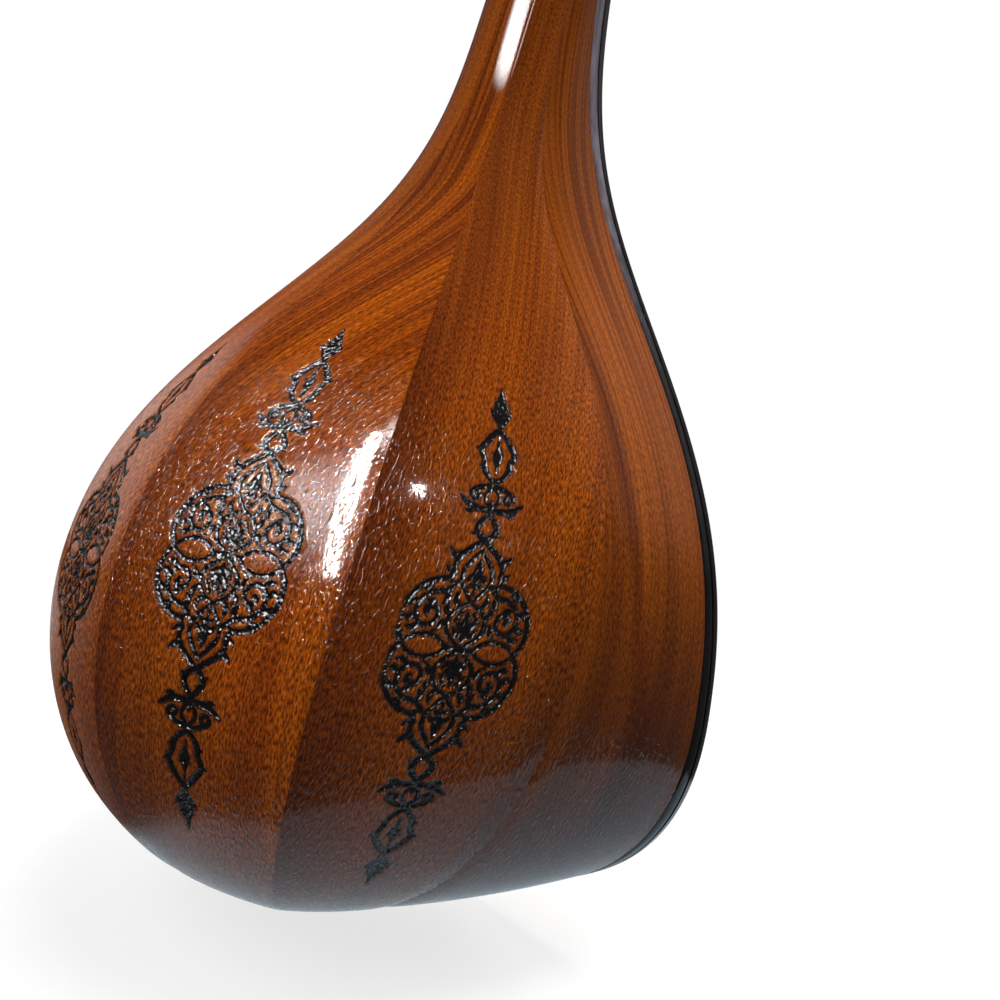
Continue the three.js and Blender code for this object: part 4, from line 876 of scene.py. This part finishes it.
def cut_away(piece, shells):
    """Cuts closed bodies out of a piece and keeps the result as its mesh."""
    cutter = joined("cutter", shells)
    cut = piece.modifiers.new("cut", "BOOLEAN")
    cut.operation = "DIFFERENCE"
    cut.solver = "EXACT"
    cut.object = cutter
    view = bpy.context.evaluated_depsgraph_get()
    result = bpy.data.meshes.new_from_object(piece.evaluated_get(view))
    result.set_sharp_from_angle(angle=np.radians(35))
    piece.modifiers.remove(cut)
    piece.data = result
    bpy.data.objects.remove(cutter)


cut_away(board, drills)

# The bridge is a low bar of dark hardwood on two feet, notched for the strings and held by them alone.
# The string holder is a bone block over the tail's edge, with four pins that the strings loop onto.
STRING_SPACING = 5.8
STRING_X = STRING_SPACING * np.array([1.5, 0.5, -0.5, -1.5])
BRIDGE_Z, BRIDGE_TOP, BRIDGE_HALF = 58.0, -9.5, 31
FOOT_FROM, GLUE_GAP = 22.0, 0.05


def curve_through(start, bend, end, steps=10):
    """A quadratic curve: (1 - t) squared, 2 t (1 - t) and t squared of its three points."""
    t = np.linspace(0, 1, steps)[:, None]
    return (1 - t) ** 2 * np.array(start) + 2 * t * (1 - t) * np.array(bend) + t ** 2 * np.array(end)


def notched(top, depth, half_width):
    """An edge at height top from +X to -X, with a small rounded notch for each string: the half circle's
    sine, raised to a power below one, so that its floor is broad."""
    dips = []
    for x in STRING_X:
        t = np.linspace(0, np.pi, 9)
        dips.append(np.stack([x + half_width * np.cos(t), top + depth * np.sin(t) ** 0.7], 1))
    return np.vstack(dips)


def carried(outline, middle, half_size, z, steps):
    """Rings of an outline through a thickness. Each step is a level and how far in its edge is rounded:
    the outline shrinks about its middle by that share of its half size."""
    return np.stack([np.column_stack([(outline - middle) * (1 - inset / np.array(half_size)) + middle,
                                      np.full(len(outline), z + level)]) for level, inset in steps])


# The outline goes from the hollow under the bar round one foot, over the notched top and down again.
seat = -arch_at(np.array(FOOT_FROM), np.array(BRIDGE_Z), np.array(83.0)) - GLUE_GAP
hollow = curve_through((FOOT_FROM, seat), (10, seat - 3.2), (0, seat - 3.4))
shoulder = curve_through((15.5, BRIDGE_TOP), (26.5, BRIDGE_TOP / 2), (BRIDGE_HALF, seat - 1.4))
foot = np.array([(BRIDGE_HALF + 0.2, seat - 1.2), (BRIDGE_HALF, seat)])
one_side = np.vstack([shoulder, foot, hollow])
outline = np.vstack([one_side[::-1] * [-1, 1], notched(BRIDGE_TOP, 0.65, 0.55)[::-1], one_side[:-1]])
rounding = ((-2.5, 0.5), (-2.35, 0.15), (-1.9, 0), (1.9, 0), (2.35, 0.15), (2.5, 0.5))
middle = np.array([0, (BRIDGE_TOP + seat) / 2])
bridge_rings = carried(outline, middle, (BRIDGE_HALF, 3.4), BRIDGE_Z, rounding)
dark_wood = bare_wood("bridge_wood", srgb(112, 66, 36), srgb(70, 38, 20), (70, 70), 0.4, 0.35)
put_piece("bridge_bar", dark_wood, [shell(bridge_rings)], stands_for=["bridge"], corner=35)


def bone_surface(name):
    """Polished bone: warm white with soft clouds and short darker pores along Z."""
    material, node, link = new_material(name)
    spot = node("ShaderNodeTexCoord").outputs["Object"]
    cloud = noise(node, link, spot, (90, 90, 45), 3)
    pores = noise(node, link, spot, (900, 900, 160), 2)
    colour = ramp(node, link, cloud, (0.3, srgb(214, 200, 166)), (0.7, srgb(238, 229, 204)))
    colour = toned(node, link, colour, 0.5, pores, (0.3, (0.72, 0.64, 0.52, 1)), (0.45, (1, 1, 1, 1)))
    finish(node, link, colour, {"Roughness": 0.32, "Subsurface Weight": 0.08,
                                "Subsurface Radius": (0.002, 0.0015, 0.001)})
    return material


bone = bone_surface("bone")
HOLDER_UNDER, HOLDER_FRONT, HOLDER_CORNER = -6.3, -2.5, 3.0


def merged_copy(name, node_name, material, width):
    """The CAD node's own shape with its corners merged and its edges rounded over to a width in mm."""
    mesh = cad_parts[node_name].data.copy()
    mesh.name = name
    made = bpy.data.objects.new(name, mesh)
    bpy.context.scene.collection.objects.link(made)
    weld = made.modifiers.new("weld", "WELD")
    weld.merge_threshold = 0.00001
    bevel = made.modifiers.new("bevel", "BEVEL")
    bevel.width = width / 1000
    bevel.segments = 2
    bevel.limit_method = "ANGLE"
    bevel.angle_limit = np.radians(35)
    view = bpy.context.evaluated_depsgraph_get()
    made.data = bpy.data.meshes.new_from_object(made.evaluated_get(view))
    made.modifiers.clear()
    made.data.materials.clear()
    made.data.materials.append(material)
    made.data.shade_smooth()
    made.data.set_sharp_from_angle(angle=np.radians(30))
    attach(made, "setar")
    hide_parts(node_name)


merged_copy("string_holder_block", "string_holder", bone, 0.3)

# The neck is one length of hardwood, round behind and flat in front, tenoned into the bowl's neck block.
# A black fingerboard is glued on its flat front.
NECK_END, NECK_FRONT, BOARD_END = 712.3, 6.3, 707.9
NECK_TOP = (13.6, 22.0)
FOOT_GAP, NECK_FLAT = 0.05, 6.05


def neck_size(z):
    """Half width and depth of the neck's elliptic section: both run evenly from foot to top."""
    share = (z - BOWL_LENGTH) / (NECK_END - BOWL_LENGTH)
    return lerp(NECK_FOOT[0], NECK_TOP[0], share), lerp(NECK_FOOT[1], NECK_TOP[1], share)


neck_heights = np.linspace(BOWL_LENGTH + FOOT_GAP, NECK_END, 60)
half, deep = (part[:, None] for part in neck_size(neck_heights))
start = np.arcsin(NECK_FLAT / deep)
turn = lerp(start, np.pi - start, np.linspace(0, 1, 57)[None, :])
neck_rings = np.stack([half * np.cos(turn), deep * np.sin(turn),
                       np.broadcast_to(neck_heights[:, None], turn.shape)], -1)
tenon_outline = np.array([(-7, 9), (7, 9), (7, 22), (-7, 22)])
tenon = np.stack([np.column_stack([tenon_outline, np.full(4, height)]) for height in (252, 290)])


def lacquered_neck(name, light, dark):
    """The bowl's wood and lacquer on a piece that runs along Z, on the piece's own coordinates."""
    material, node, link = new_material(name)
    spot = node("ShaderNodeTexCoord").outputs["Object"]
    tone = noise(node, link, spot, (30, 30, 1.6), 2)
    lines = noise(node, link, spot, (230, 230, 2), 3)
    pores = noise(node, link, spot, (900, 900, 60), 2)
    colour = ramp(node, link, tone, (0.3, dark), (0.7, light))
    colour = toned(node, link, colour, 0.55, lines, (0.38, (0.66, 0.58, 0.5, 1)),
                   (0.6, (1.06, 1.06, 1.06, 1)))
    colour = toned(node, link, colour, 0.6, pores, (0.34, (0.5, 0.42, 0.36, 1)), (0.5, (1, 1, 1, 1)))
    peel = noise(node, link, spot, (900, 900, 420), 2)
    lacquer(node, link, colour, bumps(node, link, peel, 0.00005, 0.6))
    return material


neck_wood = lacquered_neck("neck_wood", srgb(132, 62, 14), srgb(98, 42, 12))
put_piece("neck_shaft", neck_wood, [shell(neck_rings), shell(tenon)], stands_for=["neck"])

# The fingerboard's edge, as shares of the neck's width and millimetres behind the front plane.
board_heights = np.linspace(BOWL_LENGTH + FOOT_GAP, BOARD_END, 60)
half, deep = (part[:, None] for part in neck_size(board_heights))
board_side = np.array([(1, 6.0), (1, 4.0), (1, 2.0), (1, 0.55), (0.992, 0.16), (0.965, 0)])
edge_x = board_side[None, :, 0] * half * np.sqrt(1 - (board_side[None, :, 1] / deep) ** 2)
edge_y = np.broadcast_to(board_side[None, :, 1], edge_x.shape)
level = np.broadcast_to(board_heights[:, None], edge_x.shape)
near_edge, far_edge = np.stack([edge_x, edge_y, level], -1), np.stack([-edge_x, edge_y, level], -1)
put_piece("fingerboard_layer", board_black, [shell(np.concatenate([near_edge, far_edge[:, ::-1]], 1))],
          stands_for=["fingerboard"])


# Tied frets: four turns of gut round neck and fingerboard, pulled tight in a knot on the edge. They can
# be pushed along the neck to tune the scale.
def tube(path, radius, sides=8, closed=False, up=(0, 0, 1)):
    """A round tube: at each point of the path a circle square to the way it runs, turned from up."""
    path = np.asarray(path, float)
    run = unit(np.roll(path, -1, 0) - np.roll(path, 1, 0) if closed else np.gradient(path, axis=0))
    first = unit(np.cross(np.broadcast_to(np.array(up, float), run.shape), run))
    second = np.cross(run, first)
    turn = np.linspace(0, 2 * np.pi, sides, endpoint=False)
    circle = first[:, None] * np.cos(turn)[None, :, None] + second[:, None] * np.sin(turn)[None, :, None]
    return shell(path[:, None] + circle * radius, closed)


def neck_loop(z, off):
    """Once round the neck at a height: the half ellipse behind, its corners and the flat in front."""
    half, deep = neck_size(z)
    turn = np.linspace(0, np.pi, 41)
    out = unit(np.stack([np.cos(turn) / half, np.sin(turn) / deep], 1))
    back = np.stack([half * np.cos(turn), deep * np.sin(turn)], 1) + out * off
    corner = np.linspace(np.pi, 1.5 * np.pi, 6)[1:]
    left = np.array([-half, 0]) + off * np.stack([np.cos(corner), np.sin(corner)], 1)
    loop = np.vstack([back, left, np.stack([np.linspace(-half, half, 8)[1:-1], np.full(6, -off)], 1),
                      (left * [-1, 1])[::-1]])
    return np.column_stack([loop, np.full(len(loop), z)])


# The frets' pitches above the open string, in cents, share out the neck between the nut and the last one.
# The gut is amber, slightly darker in its twist.
gut = streaked("gut", (600, 600, 1400), (0.34, srgb(150, 104, 46)), (0.66, srgb(208, 166, 96)),
               {"Roughness": 0.38})
FRET_CENTS = np.array([90, 135, 204, 294, 340, 408, 498, 565, 630, 702, 792, 840,
                       906, 996, 1040, 1110, 1200, 1290, 1335, 1404, 1494, 1540, 1608, 1698])
LAST_FRET_FROM_BOWL = 25.8
GUT_PITCH, GUT_RADIUS, GUT_CLEAR = 0.55, 0.27, 0.3
knot_path = np.array([(0.1, 0.9, -1.3), (-0.15, 0.4, -0.9), (-0.2, -0.5, -0.2), (-0.1, -0.7, 0.6),
                      (-0.2, 0.1, 0.9), (-0.25, 0.7, 0.2), (-0.2, 0.2, -0.6), (-0.1, -0.6, -1.0),
                      (0.1, -1.4, -0.6)]) * [0.8, 1, 1]
stopped = 1 - 2 ** (-FRET_CENTS / 1200)
fretted = NUT_HEIGHT - BOWL_LENGTH - LAST_FRET_FROM_BOWL
for number, height in enumerate(NUT_HEIGHT - fretted * stopped / stopped[-1], 1):
    loops = [neck_loop(height + step * GUT_PITCH, GUT_CLEAR + GUT_PITCH / 2)
             for step in (-1.5, -0.5, 0.5, 1.5)]
    strands = [tube(loop, GUT_RADIUS, 6, closed=True) for loop in loops]
    knot = knot_path + [-neck_size(height)[0] - 0.75, 2.6, height]
    strands.append(tube(smooth_path(knot, 5), 0.3, 7, up=(1, 0, 0)))
    name = f"fret_{number:02d}"
    put_piece(f"{name}_turns", gut, strands, body=name, stands_for=[name], corner=80)

# The nut is a strip of bone across the fingerboard's end, with a notch for each string.
NUT_STAND, NOTCH_DEPTH = 1.8, 0.7
nut_half = neck_size(NUT_HEIGHT)[0]
nut_end = curve_through((nut_half, -0.2), (nut_half - 0.3, -1.6), (nut_half - 2, -NUT_STAND), 6)
nut_outline = np.vstack([[(-nut_half, 6), (nut_half, 6), (nut_half, 0)], nut_end,
                         notched(-NUT_STAND, 0.62, 0.5), nut_end[::-1] * [-1, 1], [(-nut_half, 0)]])
rounding = ((0.02, 0.3), (0.15, 0.08), (0.45, 0), (3.55, 0), (3.85, 0.08), (3.98, 0.3))
nut_rings = carried(nut_outline, np.array([0, 2.1]), (nut_half, 3.9), NUT_HEIGHT, rounding)
put_piece("nut_strip", bone, [shell(nut_rings)], stands_for=["nut"], corner=35)

# The head is one block that leans back a little, rounded at its edges and bored for four tapered pegs.
HEAD_START, HEAD_LENGTH, HEAD_DEPTH = 712.6, 112.0, 19.0
HEAD_FOOT, HEAD_WAIST, HEAD_TOP = 13.3, 10.5, 11.5
DRAW_LENGTH, TOP_ROUND, EDGE_ROUND, BLEND_LENGTH = 14, 2, 3.6, 16
NECK_MIDDLE = 13.5
head_lean = np.radians(3.5)


def head_front(z):
    """The head's front face leans back along its length."""
    return NECK_FRONT + (z - HEAD_START) * np.tan(head_lean)


def eased(share):
    """3 s squared - 2 s cubed, for s held between 0 and 1."""
    share = np.clip(share, 0, 1)
    return share * share * (3 - 2 * share)


def head_half(z):
    """Half the head's width: it draws in from the neck, then widens evenly to the top."""
    up = z - HEAD_START
    widen = np.clip((up - DRAW_LENGTH) / (HEAD_LENGTH - DRAW_LENGTH - TOP_ROUND), 0, 1)
    return np.where(up < DRAW_LENGTH, lerp(HEAD_FOOT, HEAD_WAIST, eased(up / DRAW_LENGTH)),
                    lerp(HEAD_WAIST, HEAD_TOP, widen))


quarter = np.linspace(0, np.pi / 2, 9)
top_turn = np.linspace(0, 1, 6) * np.pi / 2
levels = HEAD_START + np.concatenate([[0, 0.25, 1, 3, 5, 7, 9, 11, 13, 16, 20, 50, 80, 109],
                                      HEAD_LENGTH - TOP_ROUND + TOP_ROUND * np.sin(top_turn)])
inset = np.concatenate([[0.3, 0.05], np.zeros(12), TOP_ROUND - TOP_ROUND * np.cos(top_turn)])


def neck_section(ring):
    """The ring's points drawn in toward the middle onto the neck's half ellipse and its flat front."""
    way = unit(ring[:, :2] - [0, NECK_MIDDLE])
    half, deep = NECK_TOP
    a = (way[:, 0] / half) ** 2 + (way[:, 1] / deep) ** 2
    b = NECK_MIDDLE * way[:, 1] / deep ** 2
    reach = (-b + np.sqrt(b ** 2 - a * ((NECK_MIDDLE / deep) ** 2 - 1))) / a
    to_front = (NECK_FRONT + 0.02 - NECK_MIDDLE) / way[:, 1].clip(None, -0.01)
    front = np.where(way[:, 1] < -0.01, to_front, 99)
    return np.column_stack([way * np.minimum(reach, front)[:, None] + [0, NECK_MIDDLE], ring[:, 2]])


head_rings = []
for z, draw_in in zip(levels, inset):
    round_over = EDGE_ROUND - draw_in / 2
    reach = head_half(z) - draw_in - round_over
    front = head_front(z)
    near, far = front + draw_in + round_over, front + HEAD_DEPTH - draw_in - round_over
    parts = [np.stack([x + round_over * np.cos(quarter + k * np.pi / 2),
                       y + round_over * np.sin(quarter + k * np.pi / 2), np.full(len(quarter), z)], 1)
             for k, (x, y) in enumerate([(reach, far), (-reach, far), (-reach, near), (reach, near)])]
    ring = np.vstack([np.vstack([part, lerp(part[-1], after[0], 0.07), lerp(part[-1], after[0], 0.93)])
                      for part, after in zip(parts, parts[1:] + parts[:1])])
    head_rings.append(lerp(neck_section(ring), ring, eased((z - HEAD_START) / BLEND_LENGTH)))
head = put_piece("head_block", neck_wood, [shell(np.stack(head_rings))],
                 stands_for=["head"], corner=50)

# Pegs: two from the front and two from the side, turned from dark wood, each with a tapered shaft, a
# collar and a flat thumb grip. The string winds round the bare shaft between head and grip.
PEG_TIP, PEG_TAPER, PEG_STAND, PEG_BARE = 3.1, 0.02, 2.5, 10.5
GRIP_LENGTH, GRIP_HALF, GRIP_THICK, GRIP_ROUND = 15.0, 9.5, 5.0, 1.3
COLLAR, COLLAR_THICK = 5.0, 1.6
FRONT_PEG_X, SIDE_PEG_BACK, BORE_CLEAR = 2, 6.6, 0.12
tilt = np.array([[1, 0, 0], [0, -np.cos(head_lean), -np.sin(head_lean)],
                 [0, np.sin(head_lean), -np.cos(head_lean)]])
quarter_turn = np.array([[0, -1, 0], [1, 0, 0], [0, 0, 1.0]])
pegs = {}
for place, rise in (("lower", 27), ("upper", 67)):
    z = NUT_HEIGHT + rise
    reach = HEAD_DEPTH * np.cos(head_lean) + PEG_STAND
    tip = np.array([FRONT_PEG_X, head_front(z), z]) - tilt[:, 1] * reach
    shaft = HEAD_DEPTH / np.cos(head_lean) + PEG_STAND + PEG_BARE
    pegs[f"peg_front_{place}"] = (tip, tilt, shaft, reach)
for place, rise in (("lower", 49), ("upper", 89)):
    z = NUT_HEIGHT + rise
    half = head_half(z)
    tip = np.array([half + PEG_STAND, head_front(z) + SIDE_PEG_BACK, z])
    reach = 2 * half + PEG_STAND
    pegs[f"peg_side_{place}"] = (tip, quarter_turn, reach + PEG_BARE, reach)


def turned(profile, sides=48):
    """A profile of (radius, distance) turned about the peg's own axis, Y."""
    turn = np.linspace(0, 2 * np.pi, sides, endpoint=False)
    radius, distance = np.asarray(profile, float).T[:, :, None]
    return np.stack([radius * np.cos(turn), np.broadcast_to(distance, (len(radius), sides)),
                     radius * np.sin(turn)], -1)


def cubic(a, b, c, d, steps=12):
    """A cubic curve through a and d, drawn toward b and c."""
    t = np.linspace(0, 1, steps)[:, None]
    a, b, c, d = (np.array(point, float) for point in (a, b, c, d))
    return (1 - t) ** 3 * a + 3 * t * (1 - t) ** 2 * b + 3 * t ** 2 * (1 - t) * c + t ** 3 * d


def peg_shells(shaft):
    """Shaft and collar turned as one body, the grip as its outline carried through a rounded thickness."""
    end = PEG_TIP + PEG_TAPER * shaft
    swell = np.linspace(-np.pi / 2, np.pi / 2, 9)
    collar = np.column_stack([end + (COLLAR - end) * np.cos(swell) ** 0.7,
                              shaft + COLLAR_THICK / 2 + COLLAR_THICK / 2 * np.sin(swell)])
    rounding = np.linspace(0, np.pi / 2, 6)
    tip = np.column_stack([PEG_TIP - 0.8 + 0.8 * np.sin(rounding), 0.8 - 0.8 * np.cos(rounding)])
    waist, low, high, wide = GRIP_THICK / 2, GRIP_LENGTH / 3, 2 * GRIP_LENGTH / 3, GRIP_HALF - 0.1
    core = [(end, shaft + 2.4), (end - 0.4, shaft + low), (0.05, shaft + GRIP_LENGTH / 2)]
    profile = np.vstack([[(0.02, 0)], tip, collar, core])
    right = np.vstack([cubic((waist, 1.0), (waist, low), (wide, low), (wide, high)),
                       cubic((wide, high), (wide, GRIP_LENGTH), (waist, GRIP_LENGTH), (0, GRIP_LENGTH))[1:]])
    outline = np.vstack([right, (right * [-1, 1])[::-1][1:]])
    inward = unit(np.roll(outline, -1, 0) - np.roll(outline, 1, 0))[:, ::-1] * [-1, 1]
    rings = []
    for angle in np.linspace(-np.pi / 2, np.pi / 2, 13):
        ring = outline + inward * GRIP_ROUND * (1 - np.cos(angle)) ** 1.2
        level = np.full(len(ring), GRIP_THICK / 2 * np.sin(angle))
        rings.append(np.column_stack([ring[:, 0], ring[:, 1] + shaft, level]))
    return [turned(profile), np.stack(rings)]


# The pegs' wood is dark and close-grained, oiled and rubbed to a soft shine.
peg_wood = streaked("peg_wood", (240, 70, 240), (0.32, srgb(48, 26, 16)), (0.7, srgb(98, 56, 34)),
                    {"Specular IOR Level": 0.22, "Roughness": 0.34}, detail=3)
bores = []
for name, (tip, turning, shaft, reach) in pegs.items():
    bodies = [shell(part @ turning.T + tip) for part in peg_shells(shaft)]
    put_piece(f"{name}_turned", peg_wood, bodies, body=name, stands_for=[name], corner=40)
    bore = turned([(PEG_TIP + BORE_CLEAR, -1), (PEG_TIP + PEG_TAPER * shaft + BORE_CLEAR, shaft)])
    bores.append(shell(bore @ turning.T + tip))
cut_away(head, bores)

# Strings: two of steel and two of brass, drawn bright and even, with faint tarnish. Each is looped on the
# holder's pin, runs over bridge and nut to its peg, and winds round it. The wound turns move with the peg.
wires = {metal: streaked(f"{metal}_wire", (200, 200, 30), (0.3, tarnish), (0.6, shine),
                         {"Metallic": 1, "Roughness": 0.28})
         for metal, tarnish, shine in (("steel", srgb(150, 152, 158), srgb(206, 208, 212)),
                                       ("brass", srgb(172, 130, 60), srgb(224, 186, 104)))}
WINDING_TURNS, STEPS_IN_TURN, WINDING_CLEAR, WINDING_SPACE = 4, 24, 0.5, 0.5
CLEAR, PIN_BACK, HOLDER_TOP, BRIDGE_THICK = 0.3, 13.9, 3.2, 5.0
# Each string: its peg, its metal, its diameter, where it comes onto the peg and which way it winds.
strings = [("peg_front_upper", "steel", 0.2, 0, -1), ("peg_front_lower", "brass", 0.2, np.pi, 1),
           ("peg_side_lower", "brass", 0.2, np.pi, -1), ("peg_side_upper", "steel", 0.36, np.pi, -1)]
for index, (peg, metal, diameter, arrive, sense) in enumerate(strings):
    tip, turning, shaft, reach = pegs[peg]
    radius = diameter / 2
    ring = PEG_TIP + PEG_TAPER * (reach + PEG_BARE) + WINDING_CLEAR + radius
    pitch = diameter + WINDING_SPACE
    step = np.arange(WINDING_TURNS * STEPS_IN_TURN + 1) / STEPS_IN_TURN
    turn = arrive + sense * 2 * np.pi * step
    along = reach + (PEG_BARE - WINDING_TURNS * pitch) / 2 + pitch * step
    helix = np.stack([ring * np.cos(turn), along, ring * np.sin(turn)], -1) @ turning.T + tip
    put_piece(f"winding_{index + 1}", wires[metal], [tube(helix, radius, 8, up=turning[:, 1])], body=peg,
              stands_for=[f"string_winding_{index + 1}"], corner=80)

    # The wire stops where its distance from the peg's axis is the winding's sweep: with s the start, t
    # the travel and k the share of the way back, (s - k t) squared is sweep squared.
    x, off = STRING_X[index], CLEAR + radius
    on_nut = np.array([x, NOTCH_DEPTH - NUT_STAND - off, NUT_HEIGHT])
    off_nut = on_nut * [1, 1, 0] + [0, 0, NECK_END]
    sweep = ring + diameter + CLEAR
    run = helix[0] - off_nut
    start, travel = ((off_nut - tip) @ turning)[[0, 2]], (run @ turning)[[0, 2]]
    square, cross, short = travel @ travel, start @ travel, start @ start - sweep ** 2
    end = off_nut - run * (cross + np.sqrt(cross ** 2 - square * short)) / square
    bend = np.linspace(0, np.pi / 2, 7)[1:-1]
    under, before = HOLDER_UNDER + HOLDER_CORNER, HOLDER_FRONT + HOLDER_CORNER
    round_edge = np.stack([np.full(5, x), before - (HOLDER_CORNER + off) * np.sin(bend),
                           under - (HOLDER_CORNER + off) * np.cos(bend)], -1)
    over_bridge = BRIDGE_TOP + NOTCH_DEPTH - off
    route = np.vstack([
        [(x, PIN_BACK - off, HOLDER_UNDER - off), (x, before, HOLDER_UNDER - off)], round_edge,
        [(x, HOLDER_FRONT - off, under), (x, HOLDER_FRONT - off, HOLDER_TOP),
         (x, over_bridge, BRIDGE_Z - BRIDGE_THICK / 2), (x, over_bridge, BRIDGE_Z + BRIDGE_THICK / 2),
         on_nut, off_nut, end]])
    put_piece(f"wire_{index + 1}", wires[metal], [tube(route, radius, 8, up=(1, 0, 0))],
              stands_for=[f"string_{index + 1}"], corner=80)

# Inside the bowl are the tail block, the neck block with its mortise, the linings under the rim and two
# braces across the soundboard, all of pale willow or spruce as sawn.
inner_wood = bare_wood("inner_wood", srgb(214, 176, 124), srgb(184, 142, 92), (60, 60), 0.25, 0.7)
for name in ("tail_block", "neck_block", "rim_lining_left", "rim_lining_right", "soundboard_brace_1",
             "soundboard_brace_2"):
    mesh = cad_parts[name].data
    mesh.materials.clear()
    mesh.materials.append(inner_wood)
